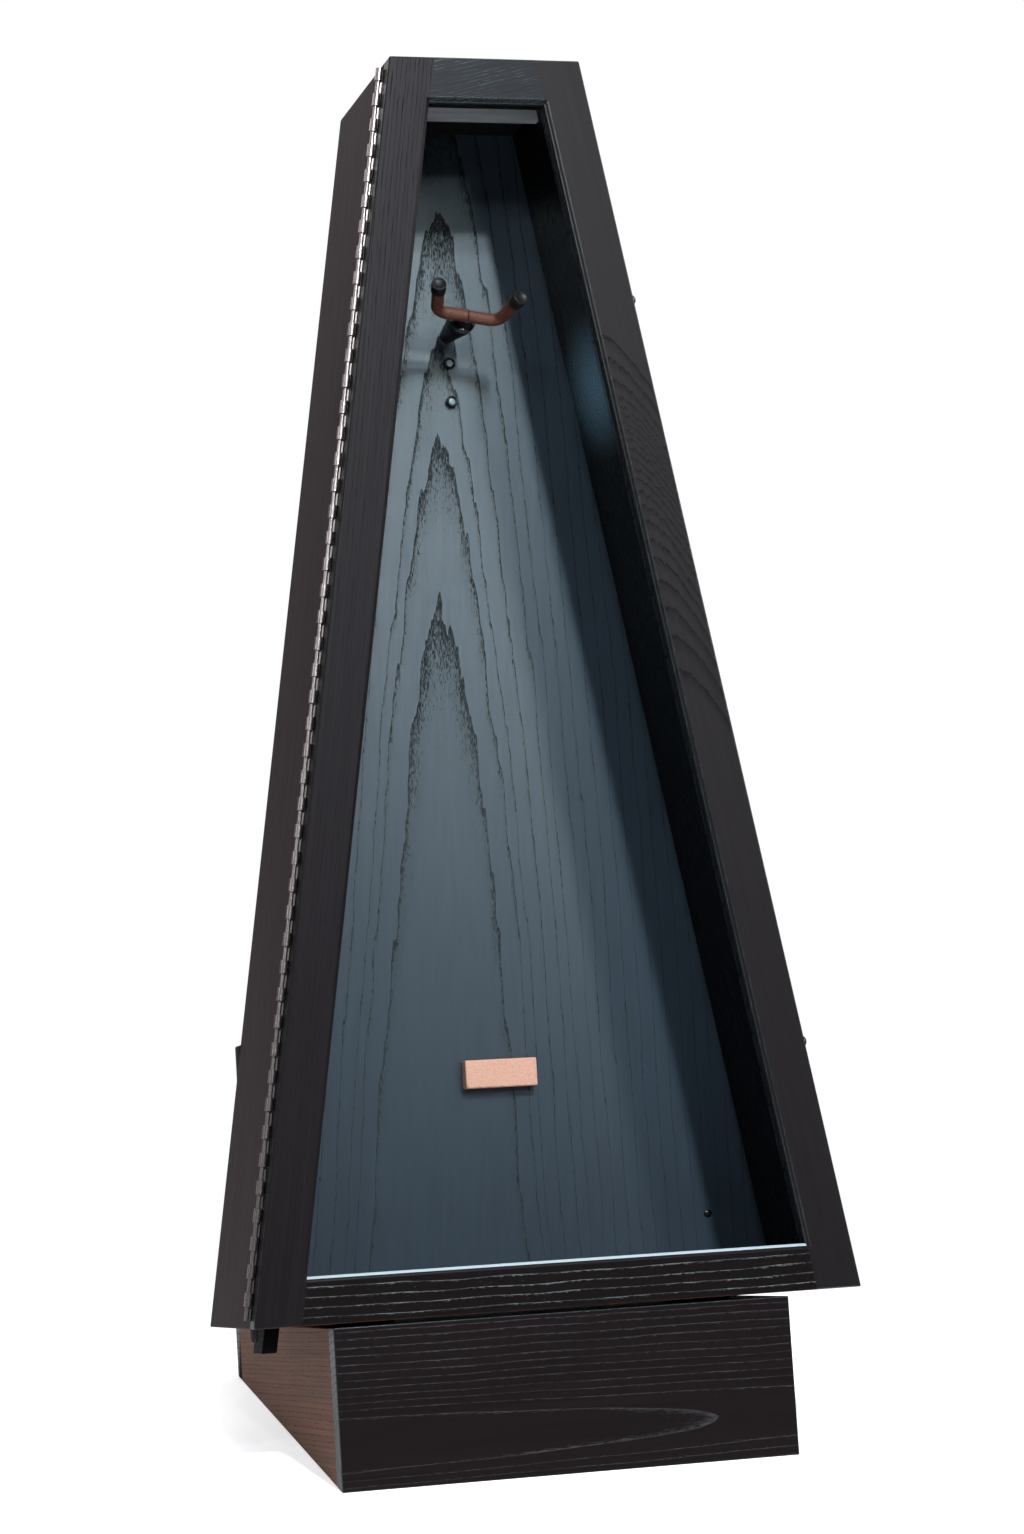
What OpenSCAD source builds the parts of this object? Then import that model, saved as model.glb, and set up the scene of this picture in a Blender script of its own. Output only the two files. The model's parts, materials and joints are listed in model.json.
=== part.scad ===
// Tapered display case for a guitar, shaped like a pendulum timekeeper's body.
// The case leans back on a wedge plinth and opens with a glazed door on its left edge.
// Everything but the floor cut is drawn in the case's own frame: X across, Y back from
// the door's front face, Z up along the front, zero at the middle of the bottom edge.

/* [Case] */
// Height of the case along its front
case_h = 1220; // [1000:10:1500]
// Width across the bottom
base_w = 600; // [520:5:720]
// Width across the top
top_w = 194; // [160:2:260]
// Depth of the box behind the door
box_d = 188; // [160:2:240]
// Thickness of the side, top and bottom boards
board_t = 19; // [17:1:22]
// Thickness of the back panel
back_t = 19; // [15:1:22]
// Angle by which the case leans back
lean = 12; // [5:0.5:15]

/* [Door] */
// Width of the stiles and rails
frame_w = 45; // [38:1:55]
// Thickness of the door frame
door_t = 20; // [18:1:24]
// Seam between the door and the box
seam = 1.5; // [1.4:0.1:3]
// Thickness of the glass
glass_t = 4; // [3:0.5:5]
// Wood left in front of the glass
lip_t = 9; // [7:0.5:10]
// Width of the rebate that the glass lies in
rebate_w = 8; // [6:0.5:10]
// Bevel round the front of the opening
bevel = 4; // [2:0.5:5]
// Room left round the edge of the glass
glass_gap = 1; // [0.5:0.1:2]

/* [Hinge] */
// Length of one knuckle with its gap
knuckle_pitch = 13; // [10:0.5:20]
// Outer radius of the door leaf's knuckles
knuckle_r = 3.7; // [3.2:0.05:3.8]
// Outer radius of the case leaf's slimmer knuckles
slim_r = 2.2; // [2.1:0.05:3.2]
// Radius of the long hinge pin
pin_r = 1.1; // [0.9:0.05:1.2]
// Distance from the edge of the case out to the pin
hinge_out = 4.2; // [4.1:0.1:6]
// Reach of the leaves in from the edge
leaf_reach = 15; // [12:0.5:16]
// Least margin left at each end of the edge
hinge_margin = 6; // [4:1:30]
// Distance between the screws of one leaf
hinge_screw_pitch = 68; // [50:1:90]
// Length of a hinge screw in the wood
hinge_screw_l = 14; // [8:1:16]

/* [Latches] */
// Place of the lower latch, along the edge from the bottom
latch_low = 243; // [120:1:400]
// Place of the upper latch, along the edge from the top
latch_drop = 244; // [120:1:400]
// Length of a hook from its pivot to the stud
hook_l = 42; // [32:1:60]
// Width of a hook's arm
hook_w = 8; // [6:0.5:10]
// Thickness of a hook
hook_t = 1.6; // [1.2:0.1:2]
// Radius of a stud's shank
stud_r = 2.5; // [2:0.1:3]
// Radius of a stud's head
stud_head_r = 4.5; // [4:0.1:6]
// Radius of a hook's pivot
pivot_r = 2.5; // [2:0.1:3]

/* [Hanger] */
// Distance of the hanger below the top
hanger_drop = 232; // [180:1:320]
// Place of the hanger across the case
hanger_x = -3; // [-10:1:10]
// Distance of the yoke in front of the back panel
yoke_out = 80; // [70:1:95]
// Rest turn of the yoke about its neck
yoke_turn = 9; // [-30:1:30]
// Half the distance between the two arms
yoke_half = 32; // [28:1:40]
// Forward reach of an arm
arm_reach = 38; // [25:1:45]
// Outward splay of an arm
arm_splay = 9; // [0:1:15]
// Rise of an arm
arm_rise = 13; // [5:1:20]
// Radius of the steel rod
rod_r = 3; // [2.5:0.1:4]
// Radius over the soft sleeves
sleeve_r = 6.25; // [5.5:0.05:7]
// Radius of the end caps
cap_r = 7.7; // [7.2:0.1:9]
// Length of the end caps
cap_l = 14; // [10:1:18]
// Radius of the bends of the yoke along its middle
bend_r = 12; // [9:0.5:15]
// Radius of the hub that carries the yoke
hub_r = 7; // [6.5:0.1:9]
// Length of the hub in front of the washer
hub_l = 16; // [12:1:20]
// Radius of the neck where it meets the back panel
neck_r = 7.5; // [6.5:0.1:9]
// Radius of the neck's collar
collar_r = 13.5; // [11:0.5:16]
// Length of the collar
collar_l = 12; // [8:1:16]
// Radius of the swivel pin and of the fixing stud
swivel_r = 4; // [3.5:0.1:4.5]

/* [Fittings] */
// Drop from the hanger to the first spare hole
plug_drop_a = 30; // [25:1:35]
// Drop from the hanger to the second spare hole
plug_drop_b = 70; // [55:1:100]
// Radius of the heads of the hole plugs
plug_r = 6.2; // [5.5:0.1:8]
// Height of the heads of the hole plugs
plug_h = 5; // [2:0.5:8]
// Width of the cork rest
rest_w = 74; // [50:1:120]
// Height of the cork rest
rest_h = 28; // [15:1:50]
// Depth of the cork rest
rest_d = 15; // [8:1:30]
// Height of the cork rest above the bottom
rest_z = 217; // [120:1:400]
// Distance of the small corner plug in from the right wall
corner_in = 54; // [20:1:100]
// Height of the small corner plug above the floor of the case
corner_up = 60; // [20:1:100]
// Radius of the small corner plug
corner_r = 4.3; // [3.5:0.1:6]
// Height of the strip under the top board
strip_h = 11; // [8:1:25]
// Thickness of the strip under the top board
strip_t = 12; // [6:1:20]
// Distance of the strip behind the front of the box
strip_back = 80; // [0:1:100]
// Radius of the door bumpers
bumper_r = 5; // [3:0.5:7]

/* [Rear batten] */
// Height of the batten
batten_h = 42; // [30:1:70]
// Thickness of the batten
batten_t = 19; // [12:1:25]
// Height of its lower edge above the bottom
batten_z = 231; // [100:1:400]
// Overhang of its ends past the sides at its upper edge
batten_over = 2; // [0:0.5:6]

/* [Plinth] */
// Distance of the plinth's sides in from the sides of the case
plinth_in = 75; // [70:5:100]
// Depth of the plinth along its top
plinth_d = 450; // [400:5:500]
// Height of the plinth's front board
plinth_h = 151; // [145:1:200]
// Thickness of the plinth's boards
plinth_t = 20; // [15:1:25]
// Thickness of the deck
deck_t = 18; // [12:1:22]
// Height and width of the cleats under the deck
cleat = 20; // [12:1:20]
// Shadow gap between the plinth and the case
shadow_gap = 4; // [3:0.5:8]
// Distance of the plinth's front behind the door's front
plinth_setback = 2; // [0:1:20]
// Distance of the bolts that hold the case in from the cleats
bolt_gap = 15; // [12:1:40]
// Distance of the bolts in from the front and rear of the box
bolt_in = 50; // [35:1:60]
// Radius of the bolts
bolt_r = 3; // [2.5:0.5:4]
// Radius of the spacer pads
pad_r = 20; // [12:1:25]

/* [Under the case] */
// Width of the small black block
block_w = 14.5; // [8:0.5:25]
// Depth of the small black block
block_d = 40; // [15:1:60]
// Drop of the small black block
block_h = 23.5; // [10:0.5:40]
// Distance of the block in from the left side
block_in = 15.5; // [12:0.5:40]
// Radius of the small peg
peg_r = 4; // [3:0.1:6]
// Drop of the small peg
peg_h = 12; // [6:0.5:25]
// Distance of the block and the peg behind the door's front
under_back = 27; // [25:1:60]

/* [Hidden] */
$fn = 48;

// Clearance of a running fit and of a driven screw, on the radius
fit = 0.05;
// Gap between two pieces that rest or turn against each other
rest_gap = 0.1;
// Small amount by which a cutter passes a face
past = 1;

// Taper of the case
side_slope = (base_w - top_w) / 2 / case_h;
side_angle = atan(side_slope);
side_run = 1 / cos(side_angle);
edge_len = case_h * side_run;

// Planes of the door and the box, from the front
box_y = door_t + seam;
rear_y = box_y + box_d;
panel_y = rear_y - back_t;

// Where the middle of the front board stands on the floor, in the case's frame
foot_y = plinth_setback + plinth_t / 2;
foot_z = floor_at(foot_y);

// Hinge
leaf_t = (seam - rest_gap) / 2;
knuckle_gap = 0.3;
knuckles = floor((edge_len - 2 * hinge_margin) / knuckle_pitch);
hinge_l = knuckles * knuckle_pitch;
hinge_start = (edge_len - hinge_l) / 2;
hinge_y = door_t + seam / 2;
plate_x = 0.3;
knuckle_wall = 0.6;
hinge_screw_r = 1.5;
hinge_head_r = 2.8;
hinge_screws = floor(hinge_l / hinge_screw_pitch);

// Latches: distances out from the side of the case
latch_high = edge_len - latch_drop;
stud_y = door_t / 2;
pivot_y = stud_y + hook_l;
flange_t = 1;
hook_face = flange_t + rest_gap;
pivot_head = hook_face + hook_t + rest_gap;
pivot_head_t = 1.8;
pivot_head_r = 2 * pivot_r;
pivot_thread_r = 0.8 * pivot_r;
stud_neck = hook_face + hook_t + 0.3;
stud_head_t = 2;
stud_sink = 12;
hook_end_r = 8;
slot_w = 2 * stud_r + hook_end_r * hook_end_r / hook_l + 0.4;
// Angle by which a hook that hangs free stands back from the edge of the case
hook_hang = atan(sin(lean) / (cos(lean) * cos(side_angle)));

// Hanger
hanger_z = case_h - hanger_drop;
yoke_y = panel_y - yoke_out;
arm_l = norm([arm_splay, arm_reach, arm_rise]);
arm_tilt = atan(arm_rise / arm_reach);
splay = asin(arm_splay / arm_l);
bend_leg = bend_r * tan((90 - splay) / 2);
bend_swell = 0.02;
bend_lap = 0.1;
washer_t = 1.5;
neck_y = yoke_y + hub_l + washer_t;
neck_l = panel_y - neck_y;
collar_y = neck_y + collar_l;
pin_l = 0.45 * neck_l;
stud_l = 0.4 * neck_l;
stud_tail = back_t - 1;
sleeve_gap = 0.5;

// Plugs
plug_stem = 14;
plug_crown = 1;
corner_stem_r = 2.5;
corner_rise = 0.4 * corner_r;
corner_x = half_at(board_t + corner_up, board_t) - corner_in;
corner_z = board_t + corner_up;

// Batten screws
batten_screw_r = 2.25;
batten_head_r = 4.5;
batten_head_t = 3;
batten_bite = back_t - 5;
batten_screw_share = [-0.8, -0.3, 0.3, 0.8];

// Plinth and bolts
plinth_w = base_w - 2 * plinth_in;
bolt_x = plinth_w / 2 - plinth_t - cleat - bolt_gap;
insert_r = bolt_r + 2;
insert_l = board_t - 5;
bolt_head_r = 2 * bolt_r;
bolt_head_t = 1.6 * bolt_r;
deck_z = -shadow_gap - deck_t;

// Half the width of the front at height z, taken d in from the slanted sides
function half_at(z, d = 0) = base_w / 2 - side_slope * z - d * side_run;

// Height of the floor under the leaning case at depth y
function floor_at(y) = -shadow_gap - plinth_h + (y - plinth_setback) * tan(lean);

// Strip along the left side between the insets d0 and d1
function side_strip(d0, d1, z0, z1) = [
    [-half_at(z0, d0), z0], [-half_at(z0, d1), z0],
    [-half_at(z1, d1), z1], [-half_at(z1, d0), z1]
];

// Strip across the case, d in from both sides
function cross_strip(d, z0, z1) = [
    [-half_at(z0, d), z0], [half_at(z0, d), z0],
    [half_at(z1, d), z1], [-half_at(z1, d), z1]
];

// Outline of the case, d in from all four edges
function outline(d) = cross_strip(d, d, case_h - d);

// Puts a piece of the case into the frame of the floor
module in_case() {
    back = foot_y * cos(lean) + foot_z * sin(lean);
    down = foot_z * cos(lean) - foot_y * sin(lean);
    translate([0, -back, -down]) rotate([-lean, 0, 0]) children();
}

// Puts a piece of the plinth into the frame of the floor and cuts it level
module on_floor() {
    reach = 3 * plinth_d;
    difference() {
        in_case() children();
        translate([-reach, -reach, -reach]) cube([2 * reach, 2 * reach, reach]);
    }
}

// Plate with the given outline in the front plane, from depth y0 to y1
module slab(points, y0, y1) {
    translate([0, y1, 0]) rotate([90, 0, 0]) linear_extrude(y1 - y0) polygon(points);
}

// Frame of the left edge: X in from the side, Y back, Z up along the slant
module left_edge() {
    translate([-base_w / 2, 0, 0]) rotate([0, side_angle, 0]) children();
}

// The same for the right edge, mirrored
module right_edge() {
    mirror([1, 0, 0]) left_edge() children();
}

// Cylinder from depth y0 to y1
module rod_y(r, y0, y1) {
    translate([0, y1, 0]) rotate([90, 0, 0]) cylinder(r = r, h = y1 - y0);
}

// Cylinder from x0 to x1
module rod_x(r, x0, x1) {
    translate([x0, 0, 0]) rotate([0, 90, 0]) cylinder(r = r, h = x1 - x0);
}

// Shallow round head of radius r and height h, pointing to the front from depth y
module dome_y(r, h, y) {
    ball = (r * r + h * h) / (2 * h);
    translate([0, y, 0]) rotate([90, 0, 0]) intersection() {
        translate([0, 0, h - ball]) sphere(r = ball);
        cylinder(r = r + past, h = h + past);
    }
}

// The same head, pointing away from the side of the case
module dome_x(r, h, x) {
    translate([x, 0, 0]) rotate([0, 0, -90]) dome_y(r, h, 0);
}

// ---------------------------------------------------------------- plinth

module plinth_board(x0, x1, y0, y1) {
    low = floor_at(plinth_setback) - plinth_t;
    translate([x0, y0, low]) cube([x1 - x0, y1 - y0, -shadow_gap - low]);
}

module plinth_front() {
    color("#1d1b1f") on_floor() plinth_board(-plinth_w / 2, plinth_w / 2, plinth_setback,
        plinth_setback + plinth_t);
}

module plinth_rear() {
    rear = plinth_setback + plinth_d;
    color("#1d1b1f") on_floor() plinth_board(-plinth_w / 2, plinth_w / 2, rear - plinth_t, rear);
}

module plinth_side(x0, x1) {
    on_floor() plinth_board(x0, x1, plinth_setback + plinth_t,
        plinth_setback + plinth_d - plinth_t);
}

module plinth_left() {
    color("#4a342c") plinth_side(-plinth_w / 2, plinth_t - plinth_w / 2);
}

module plinth_right() {
    color("#2a2122") plinth_side(plinth_w / 2 - plinth_t, plinth_w / 2);
}

module plinth_deck() {
    inner = plinth_w / 2 - plinth_t;
    color("#1d1b1f") in_case() difference() {
        translate([-inner, plinth_setback + plinth_t, deck_z])
            cube([2 * inner, plinth_d - 2 * plinth_t, deck_t]);
        at_bolts() translate([0, 0, deck_z - past])
            cylinder(r = bolt_r + 0.3, h = deck_t + 2 * past);
    }
}

module cleat_at(x0) {
    on_floor() translate([x0, plinth_setback + plinth_t, deck_z - cleat])
        cube([cleat, plinth_d - 2 * plinth_t, cleat]);
}

module cleat_left() {
    color("#6b4a38") cleat_at(plinth_t - plinth_w / 2);
}

module cleat_right() {
    color("#6b4a38") cleat_at(plinth_w / 2 - plinth_t - cleat);
}

// Places of the four bolts under the box
module at_bolts() {
    for (x = [-bolt_x, bolt_x]) for (y = [box_y + bolt_in, rear_y - bolt_in])
        translate([x, y, 0]) children();
}

module spacer_pads() {
    color("#141414") in_case() at_bolts() translate([0, 0, -shadow_gap]) difference() {
        cylinder(r = pad_r, h = shadow_gap);
        translate([0, 0, -past]) cylinder(r = bolt_r + 0.3, h = shadow_gap + 2 * past);
    }
}

module case_bolts() {
    color("#a8a8ac") in_case() at_bolts() {
        translate([0, 0, deck_z - bolt_head_t]) cylinder(r = bolt_head_r, h = bolt_head_t);
        translate([0, 0, deck_z - bolt_head_t / 2])
            cylinder(r = bolt_r, h = bolt_head_t / 2 - deck_z + insert_l - past);
    }
}

module bolt_inserts() {
    color("#b59a55") in_case() at_bolts() difference() {
        cylinder(r = insert_r - fit, h = insert_l);
        translate([0, 0, -past]) cylinder(r = bolt_r + fit, h = insert_l + 2 * past);
    }
}

// ------------------------------------------------------------------- box

module side_board() {
    slab(side_strip(0, board_t, 0, case_h), box_y, rear_y);
}

module side_left() {
    color("#2b2628") in_case() difference() {
        side_board();
        left_edge() at_hinge_screws()
            rod_y(hinge_screw_r + fit, box_y - past, box_y + hinge_screw_l + past);
    }
}

module side_right() {
    color("#2b2628") in_case() difference() {
        mirror([1, 0, 0]) side_board();
        right_edge() at_latches() translate([0, pivot_y, 0])
            rod_x(pivot_thread_r + fit, -past, stud_sink + past);
    }
}

module top_board() {
    color("#242124") in_case() slab(cross_strip(board_t, case_h - board_t, case_h), box_y, rear_y);
}

module bottom_board() {
    color("#3a2a25") in_case() difference() {
        slab(cross_strip(board_t, 0, board_t), box_y, rear_y);
        at_bolts() translate([0, 0, -past]) cylinder(r = insert_r, h = insert_l + past);
    }
}

module back_panel() {
    color("#34424c") in_case() difference() {
        slab(outline(board_t), panel_y, rear_y);
        for (z = [hanger_z, hanger_z - plug_drop_a, hanger_z - plug_drop_b])
            translate([hanger_x, 0, z]) rod_y(swivel_r + fit, panel_y - past, rear_y + past);
        translate([corner_x, 0, corner_z])
            rod_y(corner_stem_r + fit, panel_y - past, rear_y + past);
        at_batten_screws()
            rod_y(batten_screw_r + fit, rear_y - batten_bite - past, rear_y + past);
    }
}

module top_strip() {
    low = case_h - board_t - strip_h;
    color("#4a4448") in_case() slab(cross_strip(board_t, low, case_h - board_t),
        box_y + strip_back, box_y + strip_back + strip_t);
}

// Half the length of the rear batten
batten_half = half_at(batten_z + batten_h) + batten_over;

module at_batten_screws() {
    for (share = batten_screw_share)
        translate([share * batten_half, 0, batten_z + batten_h / 2]) children();
}

module rear_batten() {
    color("#2b2628") in_case() difference() {
        translate([-batten_half, rear_y, batten_z]) cube([2 * batten_half, batten_t, batten_h]);
        at_batten_screws() {
            rod_y(batten_screw_r + fit, rear_y - past, rear_y + batten_t + past);
            rod_y(batten_head_r + fit, rear_y + batten_t - batten_head_t, rear_y + batten_t + past);
        }
    }
}

module batten_screws() {
    color("#5a5a5e") in_case() at_batten_screws() {
        rod_y(batten_screw_r, rear_y - batten_bite, rear_y + batten_t - past);
        rod_y(batten_head_r, rear_y + batten_t - batten_head_t, rear_y + batten_t);
    }
}

module under_block() {
    left = block_in - base_w / 2;
    spread = block_h * side_slope;
    color("#101012") in_case() slab([
        [left, 0], [left - spread, -block_h], [left - spread + block_w, -block_h],
        [left + block_w, 0]
    ], under_back, under_back + block_d);
}

module under_peg() {
    color("#18181a") in_case() translate([peg_r + 1 - base_w / 2, under_back, -peg_h]) {
        cylinder(r = peg_r - 1, h = peg_h);
        translate([0, 0, 1]) cylinder(r = peg_r, h = peg_h - 1);
    }
}

// ----------------------------------------------------------------- hinge

// Places of the screws along one leaf
module at_hinge_screws() {
    step = hinge_l / hinge_screws;
    for (i = [0:hinge_screws - 1])
        translate([leaf_reach / 2 + 1, 0, hinge_start + (i + 0.5) * step]) children();
}

// One leaf: a plate between the depths y0 and y1, with every second knuckle, of radius r
module hinge_leaf(first, r, y0, y1) {
    tab_x = pin_r + knuckle_wall - hinge_out;
    difference() {
        union() {
            translate([plate_x, y0, hinge_start]) cube([leaf_reach - plate_x, y1 - y0, hinge_l]);
            for (i = [first:2:knuckles - 1])
                translate([0, 0, hinge_start + i * knuckle_pitch + knuckle_gap / 2]) {
                    translate([-hinge_out, hinge_y, 0])
                        cylinder(r = r, h = knuckle_pitch - knuckle_gap);
                    translate([tab_x, y0, 0])
                        cube([plate_x + past - tab_x, y1 - y0, knuckle_pitch - knuckle_gap]);
                }
        }
        translate([-hinge_out, hinge_y, hinge_start - past])
            cylinder(r = pin_r + fit, h = hinge_l + 2 * past);
        at_hinge_screws() rod_y(hinge_head_r + fit, y0 - past, y1 + past);
    }
}

module case_leaf() {
    color("#b9b2b0") in_case() left_edge() hinge_leaf(0, slim_r, box_y - leaf_t, box_y);
}

module door_leaf() {
    color("#cfc6c4") in_case() left_edge() hinge_leaf(1, knuckle_r, door_t, door_t + leaf_t);
}

module hinge_pin() {
    color("#8d8a8a") in_case() left_edge() translate([-hinge_out, hinge_y, hinge_start])
        cylinder(r = pin_r, h = hinge_l);
}

module case_leaf_screws() {
    color("#a8a8ac") in_case() left_edge() at_hinge_screws() {
        rod_y(hinge_head_r, box_y - leaf_t, box_y);
        rod_y(hinge_screw_r, box_y - leaf_t / 2, box_y + hinge_screw_l);
    }
}

module door_leaf_screws() {
    color("#a8a8ac") in_case() left_edge() at_hinge_screws() {
        rod_y(hinge_head_r, door_t, door_t + leaf_t);
        rod_y(hinge_screw_r, door_t - hinge_screw_l, door_t + leaf_t / 2);
    }
}

// ------------------------------------------------------------------ door

// Cuts round the opening: the glass rebate behind and the sloping edge in front
module door_opening() {
    slab(outline(frame_w - rebate_w), lip_t, door_t + past);
    bevel_cutter();
}

// Sloping front edge of the opening, mitred at the corners
module bevel_cutter() {
    low = frame_w - bevel - past;
    intersection() {
        translate([-base_w / 2, 0, 0]) rotate([90, 0, 90]) linear_extrude(base_w) polygon([
            [-past, low], [bevel + past, frame_w + past],
            [bevel + past, case_h - frame_w - past], [-past, case_h - low]
        ]);
        left_edge() bevel_side(low);
        right_edge() bevel_side(low);
    }
}

module bevel_side(low) {
    translate([0, 0, -frame_w]) linear_extrude(edge_len + 2 * frame_w) polygon([
        [low, -past], [frame_w + past, bevel + past], [base_w, bevel + past], [base_w, -past]
    ]);
}

module door_stile() {
    slab(side_strip(0, frame_w, 0, case_h), 0, door_t);
}

module door_stile_left() {
    color("#232126") in_case() difference() {
        door_stile();
        door_opening();
        left_edge() at_hinge_screws()
            rod_y(hinge_screw_r + fit, door_t - hinge_screw_l - past, door_t + past);
    }
}

module door_stile_right() {
    color("#2a292d") in_case() difference() {
        mirror([1, 0, 0]) door_stile();
        door_opening();
        right_edge() at_latches() translate([0, stud_y, 0])
            rod_x(stud_r + fit, -past, stud_sink + past);
    }
}

module door_rail_top() {
    color("#26292d") in_case() difference() {
        slab(cross_strip(frame_w, case_h - frame_w, case_h), 0, door_t);
        door_opening();
    }
}

module door_rail_bottom() {
    color("#1a181b") in_case() difference() {
        slab(cross_strip(frame_w, 0, frame_w), 0, door_t);
        door_opening();
    }
}

module door_glass() {
    color([0.75, 0.85, 0.9, 0.35]) in_case()
        slab(outline(frame_w - rebate_w + glass_gap), lip_t, lip_t + glass_t);
}

module bead(points) {
    color("#202024") in_case() slab(points, lip_t + glass_t, door_t);
}

bead_low = frame_w - rebate_w;
bead_high = case_h - bead_low;

module bead_left() {
    bead(side_strip(frame_w - rebate_w, frame_w, bead_low, bead_high));
}

module bead_right() {
    bead([for (p = side_strip(frame_w - rebate_w, frame_w, bead_low, bead_high)) [-p[0], p[1]]]);
}

module bead_top() {
    bead(cross_strip(frame_w, case_h - frame_w, bead_high));
}

module bead_bottom() {
    bead(cross_strip(frame_w, bead_low, frame_w));
}

module door_bumpers() {
    color("#151517") in_case() right_edge()
        for (z = [latch_low / 2, edge_len - latch_drop / 2])
            translate([board_t / 2, 0, z]) rod_y(bumper_r, door_t + rest_gap, box_y);
}

// --------------------------------------------------------------- latches

module at_latches() {
    for (z = [latch_low, latch_high]) translate([0, 0, z]) children();
}

module latch_studs() {
    color("#c4c0be") in_case() right_edge() at_latches() translate([0, stud_y, 0]) {
        rod_x(stud_r, -stud_neck - stud_head_t / 2, stud_sink);
        dome_x(stud_head_r, stud_head_t, -stud_neck);
    }
}

module latch_pivots() {
    color("#c4c0be") in_case() right_edge() at_latches() translate([0, pivot_y, 0]) {
        rod_x(pivot_thread_r, -past, stud_sink);
        rod_x(pivot_head_r, -flange_t, 0);
        rod_x(pivot_r, -pivot_head - pivot_head_t / 2, 0);
        dome_x(pivot_head_r, pivot_head_t, -pivot_head);
    }
}

// A hook lying level: pivot at zero, stud at the far end of the arm, slot open downward
module hook_level() {
    difference() {
        union() {
            rod_x(hook_end_r, -hook_face - hook_t, -hook_face);
            translate([0, -hook_l, 0]) rod_x(hook_end_r, -hook_face - hook_t, -hook_face);
            translate([-hook_face - hook_t, -hook_l, -hook_w / 2]) cube([hook_t, hook_l, hook_w]);
        }
        rod_x(pivot_r + fit, -hook_face - hook_t - past, past);
        translate([0, -hook_l, 0]) {
            rod_x(slot_w / 2, -hook_face - hook_t - past, past);
            translate([-hook_face - hook_t - past, -slot_w / 2, -2 * hook_end_r])
                cube([hook_t + 2 * past, slot_w, 2 * hook_end_r]);
        }
    }
}

// The same hook hanging free from its pivot
module hook_hanging(z) {
    color("#c4c0be") in_case() right_edge() translate([0, pivot_y, z])
        rotate([90 + hook_hang, 0, 0]) hook_level();
}

module hook_upper() {
    hook_hanging(latch_high);
}

module hook_lower() {
    hook_hanging(latch_low);
}

// ---------------------------------------------------------------- hanger

module at_hanger() {
    translate([hanger_x, 0, hanger_z]) children();
}

module hanger_stud() {
    color("#8d8d90") in_case() at_hanger() rod_y(swivel_r, panel_y - stud_l, panel_y + stud_tail);
}

module hanger_neck() {
    color("#121214") in_case() at_hanger() difference() {
        union() {
            translate([0, panel_y, 0]) rotate([90, 0, 0])
                cylinder(r1 = neck_r, r2 = collar_r, h = panel_y - collar_y);
            rod_y(collar_r, neck_y, collar_y);
        }
        rod_y(swivel_r + fit, panel_y - stud_l, panel_y + past);
        rod_y(swivel_r + fit, neck_y - past, neck_y + pin_l + rest_gap);
    }
}

module swivel_washer() {
    color("#d8d8dc") in_case() at_hanger() difference() {
        rod_y(collar_r - 3, neck_y - washer_t, neck_y);
        rod_y(swivel_r + 0.3, neck_y - washer_t - past, neck_y + past);
    }
}

// Frame of the turned yoke, at the middle of its crossbar
module at_yoke() {
    in_case() at_hanger() translate([0, yoke_y, 0]) rotate([0, yoke_turn, 0]) children();
}

// The same frame, mirrored for the left arm where side is -1
module at_side(side) {
    at_yoke() mirror([side < 0 ? 1 : 0, 0, 0]) children();
}

// Frame of the right arm: Z along it, zero where its line meets the crossbar's
module at_arm() {
    rotate([-arm_tilt, 0, 0]) translate([yoke_half, 0, 0]) rotate([90, 0, splay]) children();
}

// Crossbar from x0 to x1
module crossbar(r, x0, x1) {
    rotate([-arm_tilt, 0, 0]) rod_x(r, x0, x1);
}

// Right bend and arm, out to z = stop; the bend is a hair fuller than what it joins
module bent_arm(r, stop) {
    rotate([-arm_tilt, 0, 0]) translate([yoke_half - bend_leg, -bend_r, 0])
        rotate([0, 0, splay]) rotate_extrude(angle = 90 - splay)
            translate([bend_r, 0]) circle(r = r + bend_swell);
    at_arm() translate([0, 0, bend_leg - bend_lap])
        cylinder(r = r, h = stop - bend_leg + bend_lap);
}

module yoke() {
    reach = yoke_half - bend_leg + bend_lap;
    color("#3a3030") {
        at_side(-1) bent_arm(rod_r, arm_l);
        at_side(1) bent_arm(rod_r, arm_l);
        at_yoke() {
            crossbar(rod_r, -reach, reach);
            rod_y(hub_r, 0, hub_l - rest_gap);
            rod_y(swivel_r, 0, hub_l + washer_t + pin_l);
        }
    }
}

module sleeve(side) {
    reach = yoke_half - bend_leg + bend_lap;
    color("#5a3226") difference() {
        at_side(side) {
            crossbar(sleeve_r, sleeve_gap, reach);
            bent_arm(sleeve_r, arm_l - cap_l / 2);
        }
        at_side(side) {
            crossbar(rod_r + fit, 0, reach);
            bent_arm(rod_r + fit, arm_l);
        }
        at_yoke() rod_y(hub_r + fit, 0, 2 * sleeve_r);
    }
}

module sleeve_left() {
    sleeve(-1);
}

module sleeve_right() {
    sleeve(1);
}

// Rounded cap over the end of an arm
module arm_cap(side) {
    round_r = 2.5;
    color("#241f20") at_side(side) at_arm() translate([0, 0, arm_l - cap_l / 2]) difference() {
        rotate_extrude() union() {
            square([cap_r - round_r, cap_l]);
            square([cap_r, cap_l - round_r]);
            translate([cap_r - round_r, cap_l - round_r]) intersection() {
                circle(r = round_r);
                square(round_r);
            }
        }
        translate([0, 0, -past]) cylinder(r = rod_r + fit, h = cap_l / 2 + past + fit);
    }
}

module cap_left() {
    arm_cap(-1);
}

module cap_right() {
    arm_cap(1);
}

// -------------------------------------------------------------- fittings

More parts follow.
